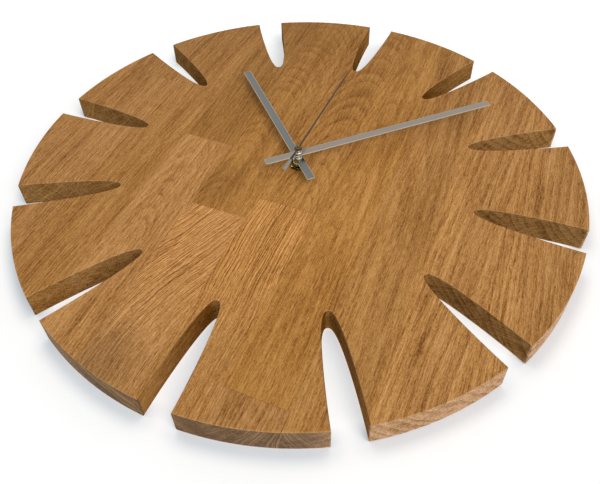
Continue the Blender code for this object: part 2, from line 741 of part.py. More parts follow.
def hour_pieces(body):
    low, high = layer("hour_wheel")
    tube_low = low - (low - layer("cannon_pinion")[1]) / 3
    direction = MOTION_DIRECTION + pi
    turn = meshing_turn(MOTION_PINION_TEETH, 0, HOUR_TEETH, direction)
    middle_wall = (HOUR_BORE + HOUR_TUBE_RADIUS) / 2
    outline = gear(HOUR_TEETH, HOUR_MODULE, WHEEL_TOOTH_SHARES, turn)
    wheel = flat("hour_wheel", [outline, circle(CENTRE, middle_wall)], low, high, body, GEAR_PLASTIC)
    shaft = tube("hour_tube", HOUR_BORE, HOUR_TUBE_RADIUS, tube_low, HOUR_TUBE_TOP, body)
    combine(wheel, "UNION", [shaft])
    hand_low = HOUR_HAND_TOP - HAND_THICKNESS
    bore = HOUR_TUBE_RADIUS + GAP
    bar_hand("hour_hand", HOUR_HAND_LENGTH, HOUR_HAND_TAIL, bore, hand_low, HOUR_HAND_TURN, body)
    hand_boss("hour_hand_boss", bore, hand_low - GAP, body)


def minute_pieces(body):
    low, high = layer("cannon_pinion")
    flange_low, flange_high = layer("cannon_flange")
    middle = (low + high) / 2
    pinion = turned(
        "cannon_pinion",
        [
            (MINUTE_TUBE_RADIUS, MINUTE_TUBE_TOP),
            (MINUTE_TUBE_RADIUS, middle),
            (CLUTCH_HUB_RADIUS, middle),
            (CLUTCH_HUB_RADIUS, flange_high),
            (CLUTCH_FLANGE_RADIUS, flange_high),
            (CLUTCH_FLANGE_RADIUS, flange_low),
            (MINUTE_BORE, flange_low),
            (MINUTE_BORE, MINUTE_TUBE_TOP),
        ],
        body,
        STEEL,
    )
    middle_wall = (MINUTE_BORE + MINUTE_TUBE_RADIUS) / 2
    teeth = gear(CANNON_TEETH, MOTION_MODULE, PINION_TOOTH_SHARES)
    leaves = flat("cannon_leaves", [teeth, circle(CENTRE, middle_wall)], low, high, body)
    combine(pinion, "UNION", [leaves])
    hand_low = MINUTE_HAND_TOP - HAND_THICKNESS
    bore = MINUTE_TUBE_RADIUS + GAP
    length, tail = MINUTE_HAND_LENGTH, MINUTE_HAND_TAIL
    bar_hand("minute_hand", length, tail, bore, hand_low, MINUTE_HAND_TURN, body)
    hand_boss("minute_hand_boss", bore, hand_low - GAP, body)
    nut_low = MINUTE_HAND_TOP + GAP
    nut_high = nut_low + MINUTE_NUT_HEIGHT
    turned(
        "minute_nut",
        [
            (HUB_RADIUS - BOSS_LIP, nut_high),
            (HUB_RADIUS, nut_high - BOSS_LIP),
            (HUB_RADIUS, nut_low),
            (bore, nut_low),
            (bore, nut_high),
        ],
        body,
        NICKEL,
    )


def needle_outline():
    """The second hand: a needle and a wider tail on a round middle."""
    needle, tip, tail = NEEDLE_WIDTH / 2, NEEDLE_TIP_WIDTH / 2, NEEDLE_TAIL_WIDTH / 2
    needle_turn, tail_turn = asin(needle / HUB_RADIUS), asin(tail / HUB_RADIUS)
    left = arc(CENTRE, HUB_RADIUS, pi / 2 + needle_turn, 3 * pi / 2 - tail_turn, 8)
    right = arc(CENTRE, HUB_RADIUS, tail_turn - pi / 2, pi / 2 - needle_turn, 8)
    top = [(tip, SECOND_HAND_LENGTH), (-tip, SECOND_HAND_LENGTH)]
    return top + left + [(-tail, -SECOND_HAND_TAIL), (tail, -SECOND_HAND_TAIL)] + right


def second_pieces(body):
    low, high = layer("seconds_wheel")
    direction = INTERMEDIATE_DIRECTION + pi
    turn = meshing_turn(INTERMEDIATE_PINION_TEETH, 0, SECONDS_TEETH, direction)
    outline = gear(SECONDS_TEETH, SECONDS_MODULE, WHEEL_TOOTH_SHARES, turn)
    flat("seconds_wheel", [outline, circle(CENTRE, MINUTE_BORE)], low, high, body, GEAR_PLASTIC)
    neck = MINUTE_BORE + CAP_NECK_WALL
    hand_high = SECOND_HAND_BASE + SECOND_HAND_THICKNESS
    cap_top = SECOND_HAND_BASE - GAP
    head_low = hand_high + GAP
    head_high = head_low + CAP_HEAD_HEIGHT
    arbor = rod("seconds_arbor", SECONDS_ARBOR_RADIUS, COVER_INNER + GAP, head_low, body, STEEL)
    teeth = gear(SECONDS_PINION_TEETH, THIRD_MODULE, PINION_TOOTH_SHARES)
    combine(arbor, "UNION", [flat("seconds_leaves", [teeth], *layer("seconds_pinion"), body)])
    loops = [needle_outline(), circle(CENTRE, neck + GAP)]
    hand = flat("second_hand", loops, SECOND_HAND_BASE, hand_high, body, DARK_STEEL)
    hand.rotation_euler = (0, 0, -SECOND_HAND_TURN)
    turned(
        "second_hand_boss",
        [
            (MINUTE_BORE + CAP_HEAD_WALL, head_high),
            (MINUTE_BORE + CAP_HEAD_WALL, head_low),
            (neck, head_low),
            (neck, cap_top),
            (HUB_RADIUS, cap_top),
            (HUB_RADIUS, cap_top - CAP_HEIGHT),
            (MINUTE_BORE, cap_top - CAP_HEIGHT),
            (MINUTE_BORE, head_high),
        ],
        body,
        NICKEL,
    )


def third_wheel(body):
    low, high = layer("third_wheel")
    turn = meshing_turn(SECONDS_PINION_TEETH, 0, THIRD_TEETH, THIRD_DIRECTION)
    outline = gear(THIRD_TEETH, THIRD_MODULE, WHEEL_TOOTH_SHARES, turn)
    wheel = flat("third_wheel", [outline], low, high, body, GEAR_PLASTIC)
    teeth = gear(THIRD_PINION_TEETH, CENTRE_MODULE, PINION_TOOTH_SHARES)
    top = CASE_FLOOR + CASE_FRONT_WALL / 2
    pieces = [
        flat("third_leaves", [teeth], *layer("third_pinion"), body),
        rod("third_arbor", PIVOT_RADIUS, COVER_INNER + GAP, top, body),
    ]
    combine(wheel, "UNION", pieces)


def centre_wheel(body):
    turn = meshing_turn(THIRD_PINION_TEETH, 0, CENTRE_TEETH, THIRD_DIRECTION + pi)
    outline = gear(CENTRE_TEETH, CENTRE_MODULE, WHEEL_TOOTH_SHARES, turn)
    bore = circle(CENTRE, CLUTCH_HUB_RADIUS + GAP)
    flat("centre_wheel", [outline, bore], *layer("centre_wheel"), body, GEAR_PLASTIC)


def intermediate_wheel(body):
    outline = gear(INTERMEDIATE_TEETH, ROTOR_MODULE, WHEEL_TOOTH_SHARES)
    wheel = flat("intermediate_wheel", [outline], *layer("intermediate_wheel"), body, GEAR_PLASTIC)
    teeth = gear(INTERMEDIATE_PINION_TEETH, SECONDS_MODULE, PINION_TOOTH_SHARES)
    top = layer("middle_plate")[1]
    pieces = [
        flat("intermediate_leaves", [teeth], *layer("intermediate_pinion"), body),
        rod("intermediate_arbor", PIVOT_RADIUS, COVER_INNER + GAP, top, body),
    ]
    combine(wheel, "UNION", pieces)


def rotor(body):
    turn = meshing_turn(INTERMEDIATE_TEETH, 0, ROTOR_TEETH, ROTOR_DIRECTION)
    top = layer("middle_plate")[1]
    arbor = rod("rotor_pinion", PIVOT_RADIUS, COVER_INNER + GAP, top, body, STEEL)
    teeth = gear(ROTOR_TEETH, ROTOR_MODULE, PINION_TOOTH_SHARES, turn)
    combine(arbor, "UNION", [flat("rotor_leaves", [teeth], *layer("rotor_pinion"), body)])
    tube("rotor_magnet", BEARING_RADIUS, MAGNET_RADIUS, *layer("magnet"), body, FERRITE)


def motion_pieces(body):
    low, high = layer("motion_wheel")
    pinion_low, pinion_high = layer("motion_pinion")
    turn = meshing_turn(CANNON_TEETH, 0, MOTION_TEETH, MOTION_DIRECTION)
    outline = gear(MOTION_TEETH, MOTION_MODULE, WHEEL_TOOTH_SHARES, turn)
    wheel = flat("motion_wheel", [outline], low, high, body, GEAR_PLASTIC)
    teeth = gear(MOTION_PINION_TEETH, HOUR_MODULE, PINION_TOOTH_SHARES)
    pivot_top = CASE_FLOOR + CASE_FRONT_WALL / 2
    shoulder = (pinion_low + pinion_high) / 2
    arbor_low = KNOB_LOW + KNOB_FACE + GAP
    arbor = turned(
        "motion_arbor",
        [
            (0, pivot_top),
            (PIVOT_RADIUS, pivot_top),
            (PIVOT_RADIUS, shoulder),
            (MOTION_ARBOR_RADIUS, shoulder),
            (MOTION_ARBOR_RADIUS, arbor_low),
            (0, arbor_low),
        ],
        body,
        steps=SMALL_STEPS,
        ring=False,
    )
    combine(wheel, "UNION", [flat("motion_leaves", [teeth], pinion_low, pinion_high, body), arbor])
    flutes = []
    for flute in range(KNOB_FLUTES):
        for share, depth in zip(FLUTE_SHARES, (0, 0, KNOB_FLUTE_DEPTH, KNOB_FLUTE_DEPTH)):
            flutes.append(along(KNOB_RADIUS - depth, 2 * pi * (flute + share) / KNOB_FLUTES))
    knob = flat("setting_knob", [flutes], KNOB_LOW, KNOB_HIGH, body, CASE_PLASTIC)
    bore = rod(
        "knob_bore", MOTION_ARBOR_RADIUS + GAP, KNOB_LOW + KNOB_FACE, KNOB_HIGH + OVERRUN, body
    )
    combine(knob, "DIFFERENCE", [bore])


def middle_plate():
    outline = rectangle(-PLATE_HALF_WIDTH, PLATE_HALF_WIDTH, PLATE_BOTTOM, PLATE_TOP, PLATE_CORNER)
    third_tip = CENTRE_MODULE * (THIRD_PINION_TEETH / 2 + PINION_TOOTH_SHARES["above"])
    holes = [
        (CENTRE, MINUTE_BORE),
        (INTERMEDIATE, BEARING_RADIUS),
        (ROTOR, BEARING_RADIUS),
        (THIRD, third_tip + 2 * GAP),
        (MOTION, MOTION_ARBOR_RADIUS + GAP),
    ]
    loops = [outline] + [circle(where, radius, SMALL_STEPS) for where, radius in holes]
    flat("middle_plate", loops, *layer("middle_plate"), DIAL, GEAR_PLASTIC)


def motor():
    half = CORE_WIDTH / 2
    meeting = asin(half / POLE_RADIUS)
    low, high = layer("stator")
    outer = [
        (STATOR_HALF_WIDTH, COIL_Y + half),
        (-STATOR_HALF_WIDTH, COIL_Y + half),
        (-STATOR_HALF_WIDTH, ROTOR[1] - half),
        *arc(ROTOR, POLE_RADIUS, pi + meeting, 2 * pi - meeting, 10),
        (STATOR_HALF_WIDTH, ROTOR[1] - half),
    ]
    inner = [
        (STATOR_INNER, COIL_Y - half),
        (-STATOR_INNER, COIL_Y - half),
        (-STATOR_INNER, ROTOR[1] + half),
        *arc(ROTOR, POLE_RADIUS, pi - meeting, meeting, 10),
        (STATOR_INNER, ROTOR[1] + half),
    ]
    pole = circle(ROTOR, MAGNET_RADIUS + AIR_GAP)
    flat("stator", [outer, inner, pole], low, high, DIAL, STEEL)
    bore = hypot(half, (high - low) / 2) + CORE_CLEARANCE
    barrel = bore + BARREL_WALL
    flange = COIL_HALF - COIL_FLANGE_THICKNESS
    axis = empty("coil_axis", DIAL, (0, COIL_Y, STATOR_MIDDLE), (0, pi / 2, 0))
    turned(
        "coil_bobbin",
        [
            (COIL_FLANGE_RADIUS, COIL_HALF),
            (COIL_FLANGE_RADIUS, flange),
            (barrel, flange),
            (barrel, -flange),
            (COIL_FLANGE_RADIUS, -flange),
            (COIL_FLANGE_RADIUS, -COIL_HALF),
            (bore, -COIL_HALF),
            (bore, COIL_HALF),
        ],
        axis,
        GEAR_PLASTIC,
    )
    inner, outer = barrel + GAP, COIL_FLANGE_RADIUS - WINDING_INSET
    tube("coil_winding", inner, outer, GAP - flange, flange - GAP, axis, COPPER)


def electronics():
    half, end = BOARD_STRIP_WIDTH / 2, BOARD_STRIP_LENGTH / 2
    outline = rectangle(
        CIRCUIT_X - half, CIRCUIT_X + half, CIRCUIT_Y - end, CIRCUIT_Y + end, 2 * GAP
    )
    flat("circuit_board", [outline], CIRCUIT_LOW, CIRCUIT_HIGH, DIAL, CIRCUIT)
    chip_top = CIRCUIT_LOW - GAP
    chip = turned(
        "clock_chip",
        [
            (0, chip_top),
            (CHIP_RADIUS, chip_top),
            (CHIP_RADIUS, chip_top - CHIP_HEIGHT / 3),
            (CHIP_RADIUS * cos(pi / 4), chip_top - CHIP_HEIGHT * sin(pi / 4)),
            (0, chip_top - CHIP_HEIGHT),
        ],
        DIAL,
        BLACK_PLASTIC,
        ring=False,
    )
    chip.location = (CIRCUIT_X, CIRCUIT_Y - end / 2, 0)
    where = (CIRCUIT_X, CIRCUIT_Y + end / 3, chip_top - CRYSTAL_RADIUS)
    axis = empty("crystal_axis", DIAL, where, (pi / 2, 0, 0))
    half = CRYSTAL_LENGTH / 2
    rod("quartz_crystal", CRYSTAL_RADIUS, -half, half, axis, NICKEL)


def battery_and_contacts():
    axis = empty("battery_axis", DIAL, (BATTERY_START, BATTERY_Y, BATTERY_Z), (0, pi / 2, 0))
    tip = BATTERY_LENGTH + NUB_LENGTH
    turned(
        "battery",
        [
            (0, tip),
            (NUB_RADIUS, tip),
            (NUB_RADIUS, BATTERY_LENGTH),
            (BATTERY_RADIUS - BATTERY_EDGE, BATTERY_LENGTH),
            (BATTERY_RADIUS, BATTERY_LENGTH - BATTERY_EDGE),
            (BATTERY_RADIUS, BATTERY_EDGE),
            (BATTERY_RADIUS - BATTERY_EDGE, 0),
            (0, 0),
        ],
        axis,
        CELL,
        FINE_STEPS,
        ring=False,
    )
    half = CONTACT_WIDTH / 2
    plate = rectangle(-half, half, -half, half, CONTACT_THICKNESS)
    flat("positive_contact", [plate], tip + GAP, tip + GAP + CONTACT_THICKNESS, axis, NICKEL)
    bow = (half**2 + SPRING_LENGTH**2) / (2 * SPRING_LENGTH)
    reach = asin(half / bow)
    start = -GAP
    hollow = bow - CONTACT_THICKNESS
    inner_reach = atan2((hollow**2 - (bow - SPRING_LENGTH) ** 2) ** 0.5, bow - SPRING_LENGTH)
    outer_bow = arc((start - bow, 0), bow, -reach, reach, 8)
    inner_bow = arc((start - bow, 0), hollow, -inner_reach, inner_reach, 6)
    back = start - SPRING_LENGTH
    outline = [(back - CONTACT_THICKNESS, -half)] + outer_bow + [(back - CONTACT_THICKNESS, half)]
    spring_axis = empty("spring_axis", DIAL, (BATTERY_START, BATTERY_Y, BATTERY_Z), (pi / 2, 0, 0))
    flat("negative_contact", [outline, inner_bow], -half / 2, half / 2, spring_axis, NICKEL)


for old in list(bpy.data.objects):
    bpy.data.objects.remove(old)

PARTS = collection("wooden_wall_clock")
CUTTERS = collection("cutters")

OAK = material("oiled_oak", (0.42, 0.22, 0.085), 0.55)
ALUMINIUM = material("brushed_aluminium", (0.62, 0.62, 0.60), 0.35, 1.0)
DARK_STEEL = material("dark_steel", (0.16, 0.13, 0.11), 0.4, 0.8)
NICKEL = material("nickel_plate", (0.66, 0.64, 0.60), 0.2, 1.0)
BRASS = material("dark_brass", (0.30, 0.25, 0.11), 0.35, 1.0)
STEEL = material("bright_steel", (0.55, 0.55, 0.56), 0.3, 1.0)
ZINC = material("zinc_plate", (0.58, 0.60, 0.62), 0.4, 1.0)
CASE_PLASTIC = material("case_plastic", (0.02, 0.02, 0.022), 0.5)
BLACK_PLASTIC = material("chip_plastic", (0.01, 0.01, 0.01), 0.4)
GEAR_PLASTIC = material("gear_plastic", (0.78, 0.77, 0.72), 0.4)
RUBBER = material("rubber", (0.015, 0.015, 0.015), 0.8)
FERRITE = material("ferrite", (0.05, 0.05, 0.055), 0.5)
COPPER = material("copper_wire", (0.60, 0.25, 0.12), 0.3, 1.0)
CIRCUIT = material("circuit_board", (0.30, 0.20, 0.08), 0.5)
CELL = material("battery_sleeve", (0.07, 0.09, 0.12), 0.35)

DIAL = empty("dial_axis", None, (0, 0, -HANGER_RISE), (pi / 2, 0, 0))
THIRD_AXIS = empty("third_axis", DIAL, (*THIRD, 0))
INTERMEDIATE_AXIS = empty("intermediate_axis", DIAL, (*INTERMEDIATE, 0))
ROTOR_AXIS = empty("rotor_axis", DIAL, (*ROTOR, 0))
MOTION_AXIS = empty("motion_axis", DIAL, (*MOTION, 0))

dial_board()
hanger()
front_case()
rear_cover()
bushing_and_nut()
hour_pieces(DIAL)
minute_pieces(DIAL)
second_pieces(DIAL)
third_wheel(THIRD_AXIS)
centre_wheel(DIAL)
intermediate_wheel(INTERMEDIATE_AXIS)
rotor(ROTOR_AXIS)
motion_pieces(MOTION_AXIS)
middle_plate()
motor()
electronics()
battery_and_contacts()

SHADING = smooth_by_angle()
for item in PARTS.objects:
    if item.type == "MESH":
        item.modifiers.new("shading", "NODES").node_group = SHADING
bpy.context.view_layer.update()
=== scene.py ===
"""Wooden wall clock: the finish of every surface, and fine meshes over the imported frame."""

from math import asin, atan2, ceil, cos, hypot, pi, radians, sin

import bmesh
import bpy
from mathutils import Matrix, Vector


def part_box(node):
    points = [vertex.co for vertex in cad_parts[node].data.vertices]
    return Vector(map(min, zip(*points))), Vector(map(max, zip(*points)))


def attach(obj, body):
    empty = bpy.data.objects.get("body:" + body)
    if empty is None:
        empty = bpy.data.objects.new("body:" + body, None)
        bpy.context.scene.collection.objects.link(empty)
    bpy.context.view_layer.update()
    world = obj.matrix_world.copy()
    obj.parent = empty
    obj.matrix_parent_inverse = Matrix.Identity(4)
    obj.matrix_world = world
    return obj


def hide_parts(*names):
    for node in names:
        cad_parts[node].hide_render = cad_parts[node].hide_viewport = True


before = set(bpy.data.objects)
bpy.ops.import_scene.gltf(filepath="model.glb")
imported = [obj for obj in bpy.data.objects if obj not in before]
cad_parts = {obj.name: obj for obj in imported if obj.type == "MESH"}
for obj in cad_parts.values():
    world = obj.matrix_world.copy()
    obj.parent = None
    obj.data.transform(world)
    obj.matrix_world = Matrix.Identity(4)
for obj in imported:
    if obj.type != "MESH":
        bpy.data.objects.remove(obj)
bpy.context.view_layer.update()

MM = 0.001
METRE = 1000.0

# Camera, from the photograph's vanishing lines
CAMERA_PLACE = (0.1364, -0.3329, -0.4143)
CAMERA_TURN = (radians(134.245), radians(-22.168), radians(1.138))
CAMERA_LENS = 38.44
CAMERA_SHIFT = (-0.0021, -0.0754)
CAMERA_NEAR = 10 * MM

# Light: how bright each lamp makes a white surface that faces it
FRONT_LEVEL = 0.50
FRONT_FROM = (0.576, -0.740, -0.350)
FRONT_ANGLE = radians(38)
REAR_LEVEL = 0.44
REAR_FROM = (0.0, 1.0, 0.0)
REAR_ANGLE = radians(12)
ROOM_LEVEL = 0.56
ROOM_COLOUR = (0.97, 0.985, 1.0)

# The wall: its paint, the white that it shows round the clock and under it, where one turns into
# the other, and the shadow close to the clock
STAGE_HALF = 4.0
STAGE_SETBACK = 0.6 * MM
STAGE_COLOUR = (0.82, 0.76, 0.72)
STAGE_WHITE = (1.03, 1.03, 1.03)
STAGE_WHITE_INSIDE = (1.17, 1.18, 1.18)
STAGE_CHANGE = (188 * MM, 204 * MM)
STAGE_TOP = (60 * MM, 170 * MM, 1.0, 0.2)
CONTACT_REACH = 13 * MM
CONTACT_SHADE = (0.84, 0.70, 0.60)

# Dial board
BOARD_RADIUS = 200 * MM
BOARD_EDGE = 0.6 * MM
WEB_THICKNESS = 2.2 * MM
NOTCH_COUNT = 12
NOTCH_DEPTH = 72.5 * MM
NOTCH_WIDTH = 20.5 * MM
NOTCH_SIDE_POWER = 1.4
NOTCH_TIP_POWER = 2.4
NOTCH_STEPS = 28
RIM_STEPS = 20
POCKET_CLEARANCE = 1.0 * MM
POCKET_CORNER = 4.0 * MM
SHAFT_HOLE_CLEARANCE = 0.5 * MM
RECESS_CLEARANCE = 0.3 * MM
RECESS_CORNER = 6.3 * MM
NAIL_SPACE_HALF = 5.5 * MM
NAIL_SPACE_BOTTOM = 83.25 * MM
NAIL_SPACE_TOP = 103.25 * MM
NAIL_SPACE_DEPTH = 10.0 * MM
SCREW_HOLE_RADIUS = 1.8 * MM
SCREW_HOLE_STEPS = 24

# Used by several meshes
OVERRUN = 1.0 * MM
WELD = 0.000001
SMOOTH_ANGLE = radians(40)
SOFTEN_ANGLE = radians(50)
FINE_STEPS = 72
CORNER_STEPS = 3
CORNER_SHARE = 0.45
FLAT = 0.95

# Hands and hub
HAND_TURNS = {"hour_hand": radians(-44.0), "minute_hand": radians(47.1), "second_hand": radians(1.3)}
HAND_EDGE = 0.38 * MM
NEEDLE_WIDTH = 1.4 * MM
NEEDLE_TIP_WIDTH = 1.0 * MM
NEEDLE_TAIL_WIDTH = 3.0 * MM
NEEDLE_EDGE = 0.06 * MM
# A painted dark reflection of the hub on the second hand's tail: its level and where it fades
TAIL_PAINTED_REFLECTION = (0.22, 12.0 * MM, 13.5 * MM)
HUB_RADIUS = 2.75 * MM
HUB_STEPS = 20
ARBOR_BORE = 0.9 * MM
MINUTE_BORE = 1.9 * MM
HOUR_BORE = 2.85 * MM
CAP_RADIUS = 1.9 * MM
CAP_NECK = 1.4 * MM
CAP_EDGE = 0.12 * MM
NUT_WEAR = 0.32 * MM
KNURL_COUNT = 32
KNURL_STEPS = 6
BOSS_WALL = 0.9 * MM
BOSS_LIP = 0.4 * MM
BUSHING_BORE = 2.85 * MM
BUSHING_RADIUS = 4.0 * MM
BUSHING_EDGE = 0.4 * MM
THREAD_PITCH = 0.75 * MM
THREAD_DEPTH = 0.34 * MM
THREAD_RINGS = 10
NUT_ACROSS_FLATS = 11.0 * MM
NUT_TURN = radians(25.5)
NUT_BORE = 4.3 * MM
NUT_SLOPE = 0.15

# Back
SCREW_RADIUS = 1.5 * MM
SCREW_HEAD_DEPTH = 1.3 * MM
SCREW_TIP = 1.5 * MM
SCREW_RIM = 0.12 * MM
CROSS_WIDTH = 0.62 * MM
CROSS_REACH = 1.7 * MM
CROSS_DEPTH = 0.8 * MM
CROSS_TURN = radians(36)
NUB_RADIUS = 2.7 * MM
NUB_LENGTH = 1.0 * MM
CELL_EDGE = 0.6 * MM
CELL_GROOVE = 0.25 * MM
CASE_EDGE = 0.16 * MM


def centre_of(node):
    """The middle of a CAD node's box."""
    low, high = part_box(node)
    return (low + high) / 2


def heights(node):
    """Lowest and highest point of a CAD node above the wall."""
    low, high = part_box(node)
    return -high.y, -low.y


# The dial's own frame: x right, y up and z out of the wall, from the middle of the dial
SHAFT = centre_of("threaded_bushing")
DIAL = Matrix.Translation((SHAFT.x, 0, SHAFT.z)) @ Matrix.Rotation(pi / 2, 4, "X")
DIAL_FRONT = heights("dial_board")[1]


# Meshes


def loose_object(name, mesh):
    """An object in the scene for a mesh."""
    item = bpy.data.objects.new(name, mesh)
    bpy.context.scene.collection.objects.link(item)
    return item


def evaluated_mesh(item):
    """The mesh of an object with its modifiers applied."""
    graph = bpy.context.evaluated_depsgraph_get()
    return bpy.data.meshes.new_from_object(item.evaluated_get(graph))


def arc(centre, radius, start, end, steps):
    """Points along an arc, ends included."""
    turns = [start + (end - start) * step / steps for step in range(steps + 1)]
    return [(centre[0] + radius * cos(turn), centre[1] + radius * sin(turn)) for turn in turns]


def circle(radius, steps=FINE_STEPS, centre=(0, 0)):
    """Points round a circle."""
    return arc(centre, radius, 0, 2 * pi, steps)[:-1]


def rectangle(left, right, bottom, top, corner, steps=6):
    """A rectangle with rounded corners."""
    middles = [
        (right - corner, top - corner),
        (left + corner, top - corner),
        (left + corner, bottom + corner),
        (right - corner, bottom + corner),
    ]
    points = []
    for quarter, middle in enumerate(middles):
        points += arc(middle, corner, quarter * pi / 2, (quarter + 1) * pi / 2, steps)
    return points


def flat_mesh(name, loops, low, high, edge=0.0, rounds=2):
    """The mesh of flat outlines between two heights, with rounded edges if asked for."""
    curve = bpy.data.curves.new(name, "CURVE")
    curve.dimensions = "2D"
    curve.fill_mode = "BOTH"
    curve.extrude = (high - low) / 2 - edge
    curve.bevel_depth = edge
    curve.bevel_resolution = rounds
    curve.offset = -edge
    for points in loops:
        spline = curve.splines.new("POLY")
        spline.points.add(len(points) - 1)
        for corner, (x, y) in zip(spline.points, points):
            corner.co = (x, y, 0, 1)
        spline.use_cyclic_u = True
    outline = loose_object(name, curve)
    mesh = evaluated_mesh(outline)
    bpy.data.objects.remove(outline)
    bpy.data.curves.remove(curve)
    bm = bmesh.new()
    bm.from_mesh(mesh)
    bmesh.ops.remove_doubles(bm, verts=bm.verts, dist=WELD)
    bmesh.ops.translate(bm, verts=bm.verts, vec=(0, 0, (low + high) / 2))
    bmesh.ops.recalc_face_normals(bm, faces=bm.faces)
    bm.to_mesh(mesh)
    bm.free()
    return mesh


def turned_mesh(name, profile, steps=FINE_STEPS, inward=None):
    """A turned shape from its closed (radius, height) profile.

    Where inward is given, it says how far a point at a radius, turn and height moves to the axis.
    """
    bm = bmesh.new()
    points = [bm.verts.new((radius, 0, height)) for radius, height in profile]
    for first, second in zip(points, points[1:] + points[:1]):
        if first.co.x or second.co.x:
            bm.edges.new((first, second))
    bmesh.ops.spin(
        bm,
        geom=bm.verts[:] + bm.edges[:],
        cent=(0, 0, 0),
        axis=(0, 0, 1),
        angle=2 * pi,
        steps=steps,
        use_merge=True,
    )
    bmesh.ops.remove_doubles(bm, verts=bm.verts, dist=WELD)
    if inward:
        for vertex in bm.verts:
            radius = hypot(vertex.co.x, vertex.co.y)
            turn = atan2(vertex.co.y, vertex.co.x)
            if radius > WELD:
                share = 1 - inward(radius, turn, vertex.co.z) / radius
                vertex.co.x *= share
                vertex.co.y *= share
    bmesh.ops.recalc_face_normals(bm, faces=bm.faces)
    mesh = bpy.data.meshes.new(name)
    bm.to_mesh(mesh)
    bm.free()
    return mesh


def rounded(profile, radius):
    """A closed profile with its corners rounded, except those on the axis."""
    points = []
    count = len(profile)
    for index, corner in enumerate(profile):
        here = Vector(corner)
        before = Vector(profile[index - 1]) - here
        after = Vector(profile[(index + 1) % count]) - here
        reach = min(radius, before.length * CORNER_SHARE, after.length * CORNER_SHARE)
        if here.x == 0 or reach <= 0:
            points.append(corner)
            continue
        start = here + before.normalized() * reach
        end = here + after.normalized() * reach
        for step in range(CORNER_STEPS + 1):
            share = step / CORNER_STEPS
            point = start.lerp(here, share).lerp(here.lerp(end, share), share)
            points.append((point.x, point.y))
    return points


def shaped(mesh, tools, operation="DIFFERENCE"):
    """The mesh with other meshes taken out of it, or kept within them."""
    item = loose_object("shaped", mesh)
    helpers = [loose_object("tool", tool) for tool in tools]
    for helper in helpers:
        step = item.modifiers.new("shape", "BOOLEAN")
        step.operation = operation
        step.solver = "EXACT"
        step.object = helper
    result = evaluated_mesh(item)
    for used in [item, *helpers]:
        bpy.data.objects.remove(used)
    return result


def soften(item, width, finish=-1):
    """Small rounded edges, as moulding, tumbling and wear leave."""
    weld = item.modifiers.new("weld", "WELD")
    weld.merge_threshold = WELD
    bevel = item.modifiers.new("edges", "BEVEL")
    bevel.width = width
    bevel.segments = 2
    bevel.limit_method = "ANGLE"
    bevel.angle_limit = SOFTEN_ANGLE
    bevel.material = finish


def piece(name, mesh, body, finishes, nodes, place=DIAL, edge=0.0, edge_finish=-1):
    """A finished piece of the clock that stands for CAD nodes."""
    mesh.name = name
    mesh.transform(place)
    item = loose_object(name, mesh)
    mesh.materials.clear()
    for finish in finishes:
        mesh.materials.append(finish)
    mesh.shade_smooth()
    mesh.set_sharp_from_angle(angle=SMOOTH_ANGLE)
    if edge:
        soften(item, edge, edge_finish)
    normals = item.modifiers.new("even_normals", "WEIGHTED_NORMAL")
    normals.keep_sharp = True
    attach(item, body)
    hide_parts(*nodes)
    return item


# Materials


